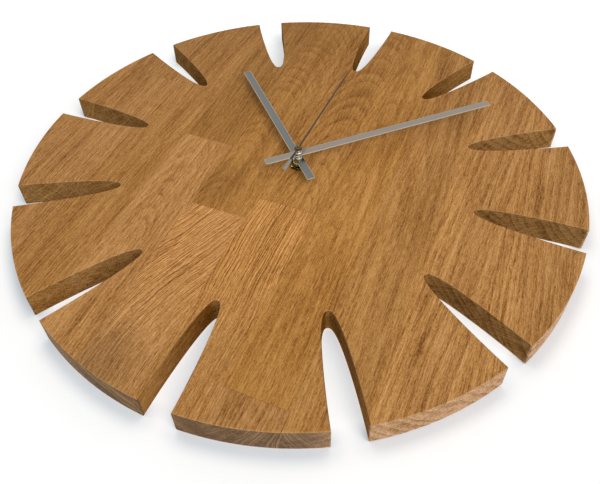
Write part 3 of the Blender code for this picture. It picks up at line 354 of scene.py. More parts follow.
class Finish:
    """A material's node tree, with short ways to add nodes to it."""

    def __init__(self, name):
        self.material = bpy.data.materials.new(name)
        self.material.use_nodes = True
        self.tree = self.material.node_tree
        self.shader = self.tree.nodes["Principled BSDF"]
        self.place = self.node("ShaderNodeTexCoord").outputs["Object"]

    def node(self, kind, *values, **settings):
        """A node with its settings, and its first inputs fed with values or sockets."""
        made = self.tree.nodes.new(kind)
        for key, value in settings.items():
            setattr(made, key, value)
        for socket, value in zip(made.inputs, values):
            self.feed(socket, value)
        return made

    def feed(self, socket, value):
        """A value or another node's socket for an input."""
        if isinstance(value, bpy.types.NodeSocket):
            self.tree.links.new(value, socket)
        else:
            socket.default_value = value

    def math(self, operation, *values):
        return self.node("ShaderNodeMath", *values, operation=operation).outputs[0]

    def times(self, first, second):
        return self.math("MULTIPLY", first, second)

    def vector(self, operation, *values):
        return self.node("ShaderNodeVectorMath", *values, operation=operation).outputs[0]

    def measure(self, operation, *values):
        """A length, a distance or a dot product."""
        return self.node("ShaderNodeVectorMath", *values, operation=operation).outputs["Value"]

    def scaled(self, place, scale):
        """A place, or one number for all its coordinates, times a scale for each."""
        return self.vector("MULTIPLY", place, scale)

    def split(self, place):
        return self.node("ShaderNodeSeparateXYZ", place).outputs

    def join(self, x, y, z):
        return self.node("ShaderNodeCombineXYZ", x, y, z).outputs[0]

    def noise(self, place, detail=2.0, roughness=0.5):
        made = self.node("ShaderNodeTexNoise", place)
        made.inputs["Scale"].default_value = 1.0
        made.inputs["Detail"].default_value = detail
        made.inputs["Roughness"].default_value = roughness
        return made.outputs["Fac"]

    def pattern(self, place, scale, *settings):
        """Noise that changes so quickly, per unit of each coordinate."""
        return self.noise(self.scaled(place, scale), *settings)

    def spread(self, value, low, high, to_low=0.0, to_high=1.0):
        """A value from one range mapped to another, and held within it."""
        return self.node("ShaderNodeMapRange", value, low, high, to_low, to_high).outputs[0]

    def ramp(self, value, stops, steps=False):
        """A colour ramp. Its stops are (place, colour)."""
        made = self.node("ShaderNodeValToRGB", value)
        ramp = made.color_ramp
        ramp.interpolation = "CONSTANT" if steps else "LINEAR"
        while len(ramp.elements) < len(stops):
            ramp.elements.new(1.0)
        for element, (where, colour) in zip(ramp.elements, stops):
            element.position = where
            element.color = (*colour, 1.0) if len(colour) == 3 else colour
        return made

    def mix(self, share, first, second, blend="MIX"):
        made = self.node("ShaderNodeMix", data_type="RGBA", blend_type=blend)
        for index, value in ((0, share), (6, first), (7, second)):
            if not isinstance(value, bpy.types.NodeSocket) and index:
                value = (*value, 1.0)
            self.feed(made.inputs[index], value)
        return made.outputs[2]

    def tinted(self, colour, tint):
        """A colour times another, or times one number."""
        return self.mix(1.0, colour, tint, "MULTIPLY")

    def bump(self, height, depth, strength):
        """The shader's normal from a height between 0 and 1 and the depth in metres."""
        made = self.node("ShaderNodeBump")
        made.inputs["Strength"].default_value = strength
        made.inputs["Distance"].default_value = depth
        self.feed(made.inputs["Height"], height)
        self.feed(self.shader.inputs["Normal"], made.outputs[0])

    def set(self, **values):
        """Values for the shader's sockets, whose names have spaces where these have _."""
        for key, value in values.items():
            self.feed(self.shader.inputs[key.replace("_", " ")], value)


def srgb(red, green, blue):
    """A colour that is written as it looks on a screen, 0 to 255, in linear light."""
    linear = []
    for level in (red, green, blue):
        share = level / 255
        linear.append(share / 12.92 if share <= 0.04045 else ((share + 0.055) / 1.055) ** 2.4)
    return tuple(linear)


def grey(level):
    return (level, level, level)


# Oak staves from left to right: the right edge of each in millimetres from the middle, the height
# of its end joint, and the grain of the block above and of the block below the joint. A block has
# its tone, the place of the tree's heart across and behind the face, how fast the heart comes
# nearer upwards, how far the grain leans, the width of a growth ring, how warm its colour is and
# how strongly its rings show.
STAVES_LEFT = -212.0
STAVES_WIDTH = 424.0
JOINT_RANGE = 200.0
GRAIN_RANGES = {
    "tone": (0.6, 1.6),
    "heart_across": (-90.0, 90.0),
    "heart_behind": (0.0, 120.0),
    "rise": (-0.5, 0.5),
    "lean": (-0.8, 0.8),
    "ring": (0.5, 5.5),
    "warmth": (-1.0, 1.0),
    "figure": (0.0, 1.0),
}
STAVES = [
    (-176.0, -30.0, (1.02, 30, 40, 0.05, 0, 1.7, 0.1, 0.3), (1.10, -50, 30, 0.03, 0.02, 1.6, -0.4, 0.4)),
    (-136.0, 60.0, (1.00, 40, 50, 0.04, 0.03, 1.7, -0.1, 0.3), (1.10, 60, 40, -0.03, 0, 1.7, -0.4, 0.45)),
    (-96.0, 150.0, (0.93, -60, 50, 0.05, 0, 1.6, 0.2, 0.3), (0.99, 70, 50, 0.04, 0, 1.8, 0.2, 0.35)),
    (-56.0, 2.7, (0.80, -46, 50, 0.06, 0.02, 1.8, 0.8, 0.25), (1.12, -1, 27, 0.17, 0, 2.6, -0.4, 0.26)),
    (-14.3, -60.7, (0.91, -10, 22, 0.20, 0, 2.3, 0.7, 0.26), (1.50, -60, 60, 0.04, -0.42, 1.25, -0.8, 0.85)),
    (26.7, -40.7, (0.97, 10.5, 17, 0.19, 0, 3.4, 0.6, 0.30), (1.38, -80, 90, 0.02, 0, 1.15, -0.1, 0.8)),
    (67.3, -176.0, (0.99, -4, 18, 0.08, 0, 2.6, 0.7, 0.24), (1.00, 30, 40, 0.04, 0, 1.9, -0.3, 0.3)),
    (107.5, 196.0, (1.04, -30, 60, 0.05, 0, 4.4, 0.1, 0.3), (1.04, -30, 60, 0.05, 0, 4.4, 0.1, 0.3)),
    (148.0, -196.0, (1.14, 54, 40, 0.05, -0.05, 5.2, -0.3, 0.36), (1.00, 50, 40, 0.05, 0, 1.9, 0.0, 0.3)),
    (212.0, -196.0, (1.14, 60, 40, 0.04, 0.04, 5.4, -0.3, 0.42), (1.00, 60, 30, 0.04, 0, 2.2, 0.0, 0.3)),
]

# Soft streaks over the length of the board, as (millimetres right of the middle, tone)
STREAKS = [
    (52.0, 1.00),
    (60.0, 1.03),
    (66.0, 0.95),
    (72.0, 0.99),
    (80.0, 1.00),
    (88.0, 0.92),
    (102.0, 0.93),
    (107.0, 1.00),
    (109.0, 1.08),
    (117.0, 1.04),
    (132.0, 0.98),
    (144.0, 1.03),
    (158.0, 1.06),
    (178.0, 0.97),
]
STREAK_RANGE = (0.85, 1.15)

# Dull patches in the stave left of the hub, as (place, whether in the upper block, how dark)
KNOTS = [
    ((-50.0, 0.0, -36.0), 1.0, 0.17),
    ((-42.0, 0.0, -186.0), 0.0, 0.24),
]
KNOT_STAVE = -35.15
KNOT_CORE = 8.0
KNOT_REACH = 30.0

# Below this height the grain stops leaning, over a soft bend
LEAN_END = -150.0
LEAN_BEND = 60.0

# A block's own seed, and how far it moves the block's figure and fibres
BLOCK_SEED = 41.3
STAVE_SEED = 0.73
FIGURE_SHIFT = (3.0, 1.0, 9.0)
FIBRE_SHIFT = (5.0, 0.0, 1.0)

# Patterns: how quickly each changes across, behind and along the board, per millimetre, its
# detail and its roughness. The rays change round the heart, out from it and from block to block.
WANDER = ((0.025, 0.025, 0.014), 2.0, 0.5)
RIPPLE = ((0.13, 0.13, 0.03), 3.0, 0.5)
PATCHES = ((0.07, 0.07, 0.02), 2.0, 0.5)
PORES = ((1.9, 1.9, 0.26), 1.0, 0.5)
FINE = ((1.9, 1.9, 0.14), 2.0, 0.6)
GRIT = ((1.2, 1.2, 0.70), 2.0, 0.6)
LINE = ((0.75, 0.75, 0.025), 1.0, 0.5)
STREAK = ((0.20, 0.20, 0.010), 2.0, 0.5)
BROAD = ((0.06, 0.06, 0.012), 2.0, 0.5)
RAYS = ((95.0, 0.03, 1.0), 1.0, 0.4)
WIDE_RAYS = ((38.0, 0.009, 1.0), 0.0, 0.5)

# How far the grain wanders and ripples, in millimetres, and how far its rings drift, in rings
WANDER_REACH = 10.0
WANDER_BEHIND = 0.3
RIPPLE_REACH = 1.6
RIPPLE_BY_LEAN = 1.6
RIPPLE_IN_FIBRES = 0.5
DRIFT_SCALE = 0.4
DRIFT_REACH = 3.0

# How dark the wood is without its patterns, and how much each adds
PLAIN_DARKNESS = 0.36
RING_AMOUNT = 0.60
FINE_AMOUNT = 1.25
GRIT_AMOUNT = 0.85
LINE_AMOUNT = 0.70
STREAK_AMOUNT = 0.60
BROAD_AMOUNT = 0.50
PORE_AMOUNT = 0.11
EARLY_PORE_AMOUNT = 0.14
BOLD_AMOUNT = 0.36
UNEVEN_LEVEL = 1.15

# Ranges: where each begins and ends, and what it gives there, where that isn't 0 and 1. Reaches
# are in millimetres, and a slant is how much a face looks along an axis.
PATCH_RANGE = (0.36, 0.64, 0.25, 1.2)
PORE_RANGE = (0.54, 0.66)
BOLD_FIGURE = (0.5, 0.8)
BOLD_REACH = (50.0, 120.0, 0.0, 0.6)
# A painted falloff of light over the face: the place it falls off from, its reach and its tones
PAINTED_FALLOFF_MIDDLE = (20.0, 0.0, -60.0)
PAINTED_FALLOFF_REACH = (50.0, 260.0, 0.97, 0.79)
RIM_REACH = (198.6, 199.2)
# Painted shade on the notch walls, from none near the rim to full towards the tips
NOTCH_TIP_SHADE_REACH = (190.0, 135.0)
SAWN_SLANT = (0.80, 0.45)
END_FACE_SLANT = (0.30, 0.85)
RAY_RANGE = (0.57, 0.62, 0.0, 0.36)
WIDE_RAY_RANGE = (0.66, 0.69, 0.0, 0.15)
END_RING_RANGE = (0.0, 0.5, 0.26, 0.0)
EDGE_FRONT_SLANT = (0.98, 0.85)
EDGE_SIDE_SLANT = (0.15, 0.45)
# Painted highlight on edges that face down, and painted shade on edges that face up
EDGE_HIGHLIGHT_SLANT = (0.25, -0.25, 0.0, 0.25)
EDGE_SHADE_SLANT = (0.25, -0.25, 0.75, 0.0)
GLUE_REACH = (0.10, 0.24, 0.30, 0.0)
GLOSS_RANGE = (0.2, 0.9, 0.50, 0.70)

OAK_SHINE = 0.12
OAK_GROOVES = (0.7, 0.25, 0.3)
OAK_RELIEF = 0.12 * MM
OAK_BUMP = 0.6
EARLY_WOOD = [(0.0, grey(0.2)), (0.08, grey(1.0)), (0.3, grey(0.7)), (0.6, grey(0.15)), (1.0, grey(0.0))]
OAK_COLOURS = [
    (0.0, srgb(214, 161, 96)),
    (0.35, srgb(188, 133, 70)),
    (0.55, srgb(166, 113, 54)),
    (0.8, srgb(134, 85, 35)),
    (1.0, srgb(96, 57, 20)),
]
COOL_TINT = (0.97, 1.03, 1.35)
WARM_TINT = (1.03, 0.98, 0.78)
# Sawn walls: darker for their grain and for painted shade, with more painted shade towards the tips
END_GRAIN_AND_SHADE = (0.76, 0.81, 0.90)
SIDE_GRAIN_AND_SHADE = (0.92, 0.94, 0.98)
NOTCH_TIP_PAINTED_SHADE = (0.44, 0.37, 0.20)
# Painted light and shade on the rim across the board: darkest below the middle, lighter to the right
RIM_PAINTED_SHADING = [
    (-90.0, (0.164, 0.179, 0.150)),
    (-20.0, (0.109, 0.112, 0.126)),
    (80.0, (0.109, 0.112, 0.126)),
    (102.0, (0.42, 0.50, 0.86)),
]
RIM_PAINTED_SHADING_LEVEL = 3.22
RAY_COLOUR = srgb(198, 156, 92)
END_RING_COLOUR = srgb(70, 46, 20)
# The glue line's colour, also painted as shade on upward edges, and the painted edge highlight
GLUE_AND_EDGE_SHADE_COLOUR = srgb(92, 58, 28)
EDGE_HIGHLIGHT_COLOUR = srgb(216, 178, 126)


def shares_of(block):
    """A block's grain values as shares of their ranges."""
    return [(value - low) / (high - low) for value, (low, high) in zip(block, GRAIN_RANGES.values())]


def board_share(where):
    """A place right of the middle as a share of the board's width."""
    return (where + JOINT_RANGE) / (2 * JOINT_RANGE)


def block_grain(wood, across, along):
    """The middle, joint and side of the joint of a point's stave, and the grain of its block."""
    stave = wood.spread(across, STAVES_LEFT, STAVES_LEFT + STAVES_WIDTH)
    lefts = [STAVES_LEFT] + [row[0] for row in STAVES[:-1]]
    stops = [(left - STAVES_LEFT) / STAVES_WIDTH for left in lefts]
    middles = [((left + row[0]) / 2 - STAVES_LEFT) / STAVES_WIDTH for left, row in zip(lefts, STAVES)]
    joints = [0.5 + row[1] / (2 * JOINT_RANGE) for row in STAVES]
    layout = wood.ramp(stave, [(stop, (m, j, 0.0)) for stop, m, j in zip(stops, middles, joints)], True)
    middle, joint, _ = wood.node("ShaderNodeSeparateColor", layout.outputs[0]).outputs
    middle = wood.math("MULTIPLY_ADD", middle, STAVES_WIDTH, STAVES_LEFT)
    joint = wood.math("MULTIPLY_ADD", joint, 2 * JOINT_RANGE, -JOINT_RANGE)
    above = wood.math("GREATER_THAN", along, joint)
    names = list(GRAIN_RANGES)
    grain = {}
    for first in (0, 4):
        ramps = []
        for level in (3, 2):
            shares = [tuple(shares_of(row[level])[first : first + 4]) for row in STAVES]
            ramps.append(wood.ramp(stave, list(zip(stops, shares)), True))
        colour = wood.mix(above, ramps[0].outputs[0], ramps[1].outputs[0])
        channels = wood.node("ShaderNodeSeparateColor", colour).outputs
        alpha = wood.spread(above, 0.0, 1.0, ramps[0].outputs[1], ramps[1].outputs[1])
        for name, socket in zip(names[first : first + 4], [*channels, alpha]):
            low, high = GRAIN_RANGES[name]
            grain[name] = wood.math("MULTIPLY_ADD", socket, high - low, low)
    return middle, joint, above, grain


def oak():
    """Oiled oak, glued up from staves that run from six to twelve."""
    wood = Finish("oiled_oak")
    face = (0.0, DIAL_FRONT * METRE, -SHAFT.z * METRE)
    place = wood.vector("ADD", wood.scaled(wood.place, grey(METRE)), face)
    across, behind, along = wood.split(place)
    middle, joint, above, grain = block_grain(wood, across, along)

    # Where a point lies from the heart of its tree, with the slow wander that all grain has
    seed = wood.math("MULTIPLY_ADD", above, BLOCK_SEED, wood.times(middle, STAVE_SEED))
    shifted = wood.vector("ADD", place, wood.scaled(seed, FIGURE_SHIFT))
    wander = wood.times(wood.math("SUBTRACT", wood.pattern(shifted, *WANDER), 0.5), WANDER_REACH)
    ripple = wood.times(wood.math("SUBTRACT", wood.pattern(shifted, *RIPPLE), 0.5), RIPPLE_REACH)
    steep = wood.math("MULTIPLY_ADD", wood.math("ABSOLUTE", grain["lean"]), RIPPLE_BY_LEAN, 1.0)
    ripple = wood.times(ripple, steep)
    leaning = wood.times(wood.math("SMOOTH_MAX", along, LEAN_END, LEAN_BEND), grain["lean"])
    side = wood.math("SUBTRACT", wood.math("SUBTRACT", across, middle), grain["heart_across"])
    side = wood.math("ADD", side, leaning)
    side = wood.math("ADD", side, wood.math("ADD", wander, ripple))
    depth = wood.math("ADD", grain["heart_behind"], behind)
    depth = wood.math("MULTIPLY_ADD", along, grain["rise"], depth)
    depth = wood.math("MULTIPLY_ADD", wander, WANDER_BEHIND, depth)
    radius = wood.measure("LENGTH", wood.join(side, depth, 0.0))

    # The rings round it. Where they show strongly, they fade away from the end joint.
    rings = wood.math("DIVIDE", radius, grain["ring"])
    drift = wood.noise(wood.join(wood.times(rings, DRIFT_SCALE), seed, 0.0))
    ring = wood.math("FRACT", wood.math("MULTIPLY_ADD", drift, DRIFT_REACH, rings))
    early = wood.ramp(ring, EARLY_WOOD).outputs[0]
    off_joint = wood.math("ABSOLUTE", wood.math("SUBTRACT", along, joint))
    bold = wood.spread(grain["figure"], *BOLD_FIGURE)
    bold = wood.times(bold, wood.spread(off_joint, *BOLD_REACH))
    early = wood.times(early, wood.math("SUBTRACT", 1.0, bold))
    uneven = wood.math("SUBTRACT", UNEVEN_LEVEL, grain["figure"])
    patchy = wood.spread(wood.pattern(shifted, *PATCHES), *PATCH_RANGE)
    patchy = wood.math("MULTIPLY_ADD", wood.math("SUBTRACT", patchy, 1.0), uneven, 1.0)
    early = wood.times(early, patchy)

    # Fibres and pores run along the grain
    sheared = wood.math("ADD", across, leaning)
    sheared = wood.math("MULTIPLY_ADD", ripple, RIPPLE_IN_FIBRES, sheared)
    fibre = wood.vector("ADD", wood.join(sheared, behind, along), wood.scaled(seed, FIBRE_SHIFT))
    pores = wood.spread(wood.pattern(fibre, *PORES), *PORE_RANGE)
    grit = wood.pattern(fibre, *GRIT)
    darkness = wood.times(early, grain["figure"])
    darkness = wood.math("MULTIPLY_ADD", darkness, RING_AMOUNT, PLAIN_DARKNESS)
    amounts = (
        (wood.pattern(fibre, *FINE), FINE_AMOUNT),
        (grit, GRIT_AMOUNT),
        (wood.pattern(fibre, *LINE), LINE_AMOUNT),
        (wood.pattern(fibre, *STREAK), wood.times(uneven, STREAK_AMOUNT)),
        (wood.pattern(shifted, *BROAD), wood.times(uneven, BROAD_AMOUNT)),
    )
    for pattern, amount in amounts:
        darkness = wood.math("MULTIPLY_ADD", wood.math("SUBTRACT", pattern, 0.5), amount, darkness)
    pore_share = wood.math("MULTIPLY_ADD", early, EARLY_PORE_AMOUNT, PORE_AMOUNT)
    darkness = wood.math("MULTIPLY_ADD", pores, pore_share, darkness)
    colour = wood.ramp(darkness, OAK_COLOURS).outputs[0]

    # The tone of each block and streak, and a painted falloff of light: the face gets darker away
    # from a place below the hub.
    face_place = wood.join(across, 0.0, along)
    tone = wood.spread(wood.measure("DISTANCE", face_place, PAINTED_FALLOFF_MIDDLE), *PAINTED_FALLOFF_REACH)
    tone = wood.times(tone, wood.math("MULTIPLY_ADD", bold, -BOLD_AMOUNT, 1.0))
    tone = wood.times(tone, grain["tone"])
    low, high = STREAK_RANGE
    board = wood.spread(across, -JOINT_RANGE, JOINT_RANGE)
    stops = [(board_share(where), grey((level - low) / (high - low))) for where, level in STREAKS]
    streaks = wood.ramp(board, stops).outputs[0]
    tone = wood.times(tone, wood.spread(streaks, 0.0, 1.0, low, high))
    off_middle = wood.measure("LENGTH", face_place)
    rim = wood.spread(off_middle, *RIM_REACH)
    tone = wood.spread(rim, 0.0, 1.0, tone, 1.0)
    for knot_place, upper, dullness in KNOTS:
        knot = wood.measure("DISTANCE", face_place, knot_place)
        knot = wood.spread(knot, KNOT_CORE, KNOT_REACH, dullness, 0.0)
        in_block = wood.math("COMPARE", above, upper, 0.5)
        in_stave = wood.math("COMPARE", middle, KNOT_STAVE, 2.0)
        knot = wood.times(knot, wood.times(in_stave, in_block))
        tone = wood.times(tone, wood.math("SUBTRACT", 1.0, knot))
    colour = wood.tinted(colour, tone)
    warmth = wood.spread(grain["warmth"], -1.0, 1.0)
    colour = wood.mix(warmth, wood.tinted(colour, COOL_TINT), wood.tinted(colour, WARM_TINT))

    # Sawn walls are darker: their end and side grain takes more oil, and painted shade deepens
    # towards the notch tips. End grain shows the rays as light lines out from the heart.
    normal = wood.split(wood.node("ShaderNodeNewGeometry").outputs["Normal"])
    slant = wood.math("ABSOLUTE", normal[1])
    sawn = wood.spread(slant, *SAWN_SLANT)
    end_face = wood.spread(wood.math("ABSOLUTE", normal[2]), *END_FACE_SLANT)
    # Painted light and shade on the rim, lighter towards the right where the lamp falls
    rim_painted_shading = wood.ramp(board, [(board_share(where), shade) for where, shade in RIM_PAINTED_SHADING]).outputs[0]
    rim_painted_shading = wood.scaled(rim_painted_shading, grey(RIM_PAINTED_SHADING_LEVEL))
    # Painted shade on the side grain, deepening towards the notch tips
    side_grain_and_shade = wood.mix(wood.spread(off_middle, *NOTCH_TIP_SHADE_REACH), SIDE_GRAIN_AND_SHADE, NOTCH_TIP_PAINTED_SHADE)
    cut_grain_and_shade = wood.mix(rim, wood.mix(end_face, side_grain_and_shade, END_GRAIN_AND_SHADE), rim_painted_shading)
    colour = wood.mix(sawn, colour, wood.tinted(colour, cut_grain_and_shade))
    from_heart = wood.join(wood.math("ARCTAN2", side, depth), radius, seed)
    rays = wood.spread(wood.pattern(from_heart, *RAYS), *RAY_RANGE)
    wide_rays = wood.spread(wood.pattern(from_heart, *WIDE_RAYS), *WIDE_RAY_RANGE)
    end_colour = wood.mix(wood.spread(ring, *END_RING_RANGE), colour, END_RING_COLOUR)
    end_colour = wood.mix(rays, end_colour, RAY_COLOUR)
    end_colour = wood.mix(wide_rays, end_colour, RAY_COLOUR)
    colour = wood.mix(end_face, colour, end_colour)

    # Rounded edges: a painted highlight where they face down, towards the lamp, and painted shade
    # where they face up
    edge = wood.times(wood.spread(slant, *EDGE_FRONT_SLANT), wood.spread(slant, *EDGE_SIDE_SLANT))
    edge_highlight = wood.times(edge, wood.spread(normal[2], *EDGE_HIGHLIGHT_SLANT))
    edge_shade = wood.times(edge, wood.spread(normal[2], *EDGE_SHADE_SLANT))
    colour = wood.mix(edge_highlight, colour, EDGE_HIGHLIGHT_COLOUR)
    colour = wood.mix(edge_shade, colour, GLUE_AND_EDGE_SHADE_COLOUR)

    # The glue line at each end joint, a hair wide
    colour = wood.mix(wood.spread(off_joint, *GLUE_REACH), colour, GLUE_AND_EDGE_SHADE_COLOUR)

    # Sawn walls don't shine, the sanded rim and faces do a little. The value set first is what a
    # program that can't follow the link keeps.
    shine = wood.spread(sawn, 0.0, 1.0, OAK_SHINE, 0.0)
    wood.set(Base_Color=colour, Specular_IOR_Level=OAK_SHINE)
    wood.set(Specular_IOR_Level=wood.spread(rim, 0.0, 1.0, shine, OAK_SHINE))
    wood.set(Roughness=wood.spread(darkness, *GLOSS_RANGE))
    relief = 1.0
    for pattern, groove in zip((pores, early, grit), OAK_GROOVES):
        relief = wood.math("MULTIPLY_ADD", pattern, -groove, relief)
    wood.bump(relief, OAK_RELIEF, OAK_BUMP)
    return wood.material


# Brushed metal: how quickly its lines and clouds change, its tones, and how rough they make it
BRUSH_LINES = 9.0
BRUSH_NOISE = (3.0, 0.7)
BRUSH_DRIFT = 0.06
BRUSH_CLOUDS = 0.15
BRUSH_TONES = (0.80, 1.18)
BRUSH_ROUGHNESS = 0.22
LINE_ROUGHNESS = 0.16
CLOUD_ROUGHNESS = 0.08
BRUSH_BUMP = 0.5

# Plain finishes: how quickly their clouds change, where their roughness goes, and their relief
PLAIN_CLOUDS = 0.12
PLAIN_NOISE = (3.0, 0.6)
PLAIN_LEVELS = (0.25, 0.75)
PLAIN_GLOSS = (0.85, 1.15)
PLAIN_BUMP = 0.4
FINE_RELIEF = 0.02 * MM
COARSE_RELIEF = 0.05 * MM

# Where in a pattern a colour's darker tone ends and its lighter one begins
TONE_STOPS = (0.3, 0.7)


def tones(colour, darker, lighter):
    """Stops for a pattern, from a darker tone of a colour to a lighter one."""
    dark = tuple(channel * darker for channel in colour)
    light = tuple(min(1.0, channel * lighter) for channel in colour)
    return list(zip(TONE_STOPS, (dark, light)))


def brushed_metal(name, colour, turn, shade=None):
    """Sheet metal brushed along a hand's length.

    Shade, where given, is a painted dark reflection of the hub near it: the level by the hub, and
    where it begins and stops getting lighter.
    """
    along, across = hand_axes(turn)
    metal = Finish(name)
    place = metal.scaled(metal.place, grey(METRE))
    over = metal.times(metal.measure("DOT_PRODUCT", place, across), BRUSH_LINES)
    drift = metal.scaled(place, grey(BRUSH_DRIFT))
    lines = metal.noise(metal.vector("ADD", metal.join(over, 0.0, 0.0), drift), *BRUSH_NOISE)
    cloud = metal.pattern(place, grey(BRUSH_CLOUDS))
    tint = metal.ramp(lines, tones(colour, *BRUSH_TONES)).outputs[0]
    if shade:
        level, start, end = shade
        reach = metal.measure("DOT_PRODUCT", metal.vector("SUBTRACT", metal.place, SHAFT), along)
        level = metal.spread(metal.math("ABSOLUTE", reach), start, end, level, 1.0)
        tint = metal.tinted(tint, level)
    metal.set(Base_Color=tint, Metallic=1.0)
    rough = metal.math("MULTIPLY_ADD", lines, LINE_ROUGHNESS, BRUSH_ROUGHNESS)
    metal.set(Roughness=metal.math("MULTIPLY_ADD", cloud, CLOUD_ROUGHNESS, rough))
    metal.bump(lines, FINE_RELIEF, BRUSH_BUMP)
    return metal.material


def plain_finish(name, colour, roughness, metallic=0.0, grain=2.0, spread=0.12, depth=FINE_RELIEF):
    """A moulded, plated or turned surface: fine grain, slight clouding and uneven gloss."""
    made = Finish(name)
    place = made.scaled(made.place, grey(METRE))
    fine = made.pattern(place, grey(grain), *PLAIN_NOISE)
    cloud = made.pattern(place, grey(PLAIN_CLOUDS))
    level = made.math("MULTIPLY_ADD", fine, 0.5, made.times(cloud, 0.5))
    tint = made.ramp(level, tones(colour, 1 - spread, 1 + spread)).outputs[0]
    made.set(Base_Color=tint, Metallic=metallic)
    glossy, dull = (min(1.0, roughness * share) for share in PLAIN_GLOSS)
    made.set(Roughness=made.spread(level, *PLAIN_LEVELS, glossy, dull))
    made.bump(fine, depth, PLAIN_BUMP)
    return made.material


# Dial board


def notch_side():
    """Half the notch's outline from its tip to the rim, as (half width, radius) points."""
    half = NOTCH_WIDTH / 2
    rim = (BOARD_RADIUS**2 - half**2) ** 0.5
    points = []
    for step in range(NOTCH_STEPS + 1):
        share = (step / NOTCH_STEPS) ** 2
        width = half * (1 - (1 - share) ** NOTCH_SIDE_POWER) ** (1 / NOTCH_TIP_POWER)
        points.append((width, rim - NOTCH_DEPTH * (1 - share)))
    return points


def board_outline():
    """The dial's outline: a rim arc and a notch for each hour."""
    side = notch_side()
    mouth = asin(NOTCH_WIDTH / 2 / BOARD_RADIUS)
    sector = 2 * pi / NOTCH_COUNT
    points = []
    for hour in range(NOTCH_COUNT):
        middle = pi / 2 + hour * sector
        for sense, run in ((-1, side[::-1]), (1, side[1:])):
            for width, radius in run:
                turn = middle + sense * atan2(width, radius)
                reach = hypot(width, radius)
                points.append((reach * cos(turn), reach * sin(turn)))
        rim = arc((0, 0), BOARD_RADIUS, middle + mouth, middle + sector - mouth, RIM_STEPS)
        points += rim[1:-1]
    return points


def grown_box(node, grow, corner):
    """The outline of a CAD node's box in the dial's frame, with room round it."""
    low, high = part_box(node)
    bottom, top = low.z - SHAFT.z, high.z - SHAFT.z
    return rectangle(low.x - grow, high.x + grow, bottom - grow, top + grow, corner)


def dial_board():
    """The board, with what is let into its back cut out."""
    shaft_hole = circle(BUSHING_RADIUS + SHAFT_HOLE_CLEARANCE)
    mesh = flat_mesh("board", [board_outline(), shaft_hole], 0, DIAL_FRONT, BOARD_EDGE)
    pocket = grown_box("front_case", POCKET_CLEARANCE, POCKET_CORNER)
    recess = grown_box("hanger_plate", RECESS_CLEARANCE, RECESS_CORNER)
    nail = rectangle(-NAIL_SPACE_HALF, NAIL_SPACE_HALF, NAIL_SPACE_BOTTOM, NAIL_SPACE_TOP, NAIL_SPACE_HALF)
    recess_floor = heights("hanger_plate")[1] + RECESS_CLEARANCE
    cutters = [
        flat_mesh("pocket", [pocket], -OVERRUN, DIAL_FRONT - WEB_THICKNESS),
        flat_mesh("recess", [recess], -OVERRUN, recess_floor),
        flat_mesh("nail_space", [nail], -OVERRUN, NAIL_SPACE_DEPTH),
    ]
    for node in ("hanger_screw_left", "hanger_screw_right"):
        where = centre_of(node)
        ring = circle(SCREW_HOLE_RADIUS, SCREW_HOLE_STEPS, (where.x, where.z - SHAFT.z))
        floor = heights(node)[1] + RECESS_CLEARANCE
        cutters.append(flat_mesh("screw_hole", [ring], -OVERRUN, floor))
    piece("oak_board", shaped(mesh, cutters), "clock", [OAK], ["dial_board"])


# Hands and hub


def hand_axes(turn):
    """The directions along a hand and across it, in the row frame."""
    along = Vector((sin(turn), 0, cos(turn)))
    return along, Vector((along.z, 0, -along.x))


def hand_place(node):
    """The frame of a hand that points up its own y axis."""
    return DIAL @ Matrix.Rotation(-HAND_TURNS[node], 4, "Z")


def reach_of(node, axis):
    """How far a CAD node reaches from the dial's middle along an axis, both ways."""
    middle = SHAFT.dot(axis)
    places = [vertex.co.dot(axis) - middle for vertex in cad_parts[node].data.vertices]
    return min(places), max(places)


def bar_hand(node, bore, body, finishes):
    """A flat bar hand with bright edges where it was sheared from the sheet."""
    along, across = hand_axes(HAND_TURNS[node])
    tail, tip = reach_of(node, along)
    left, right = reach_of(node, across)
    outline = rectangle(left, right, tail, tip, 2 * HAND_EDGE, CORNER_STEPS)
    mesh = flat_mesh(node, [outline, circle(bore)], *heights(node), HAND_EDGE, 1)
    made = piece(f"{node}_bar", mesh, body, finishes, [node], hand_place(node))
    for face in made.data.polygons:
        face.material_index = 0 if abs(face.normal.y) > FLAT else 1


def second_hand():
    """The needle with its wider tail, on a round middle."""
    along, _ = hand_axes(HAND_TURNS["second_hand"])
    tail_end, tip_end = reach_of("second_hand", along)
    needle, tip, tail = NEEDLE_WIDTH / 2, NEEDLE_TIP_WIDTH / 2, NEEDLE_TAIL_WIDTH / 2
    needle_turn = asin(needle / HUB_RADIUS)
    left = arc((0, 0), HUB_RADIUS, pi / 2 + needle_turn, 3 * pi / 2 - needle_turn, HUB_STEPS)
    right = arc((0, 0), HUB_RADIUS, needle_turn - pi / 2, pi / 2 - needle_turn, HUB_STEPS)
    ends = [(-tail, tail_end), (tail, tail_end)]
    outline = [(tip, tip_end), (-tip, tip_end)] + left + ends + right
    mesh = flat_mesh("needle", [outline, circle(CAP_NECK)], *heights("second_hand"), NEEDLE_EDGE, 1)
    finishes = [FINISHES["dark_steel"], TAIL_METAL, CUT_EDGE]
    place = hand_place("second_hand")
    made = piece("second_hand_needle", mesh, "second_work", finishes, ["second_hand"], place)
    for face in made.data.polygons:
        behind_hub = (face.center - SHAFT).dot(along) < -HUB_RADIUS
        flat = abs(face.normal.y) > FLAT
        face.material_index = (1 if flat else 2) if behind_hub else 0


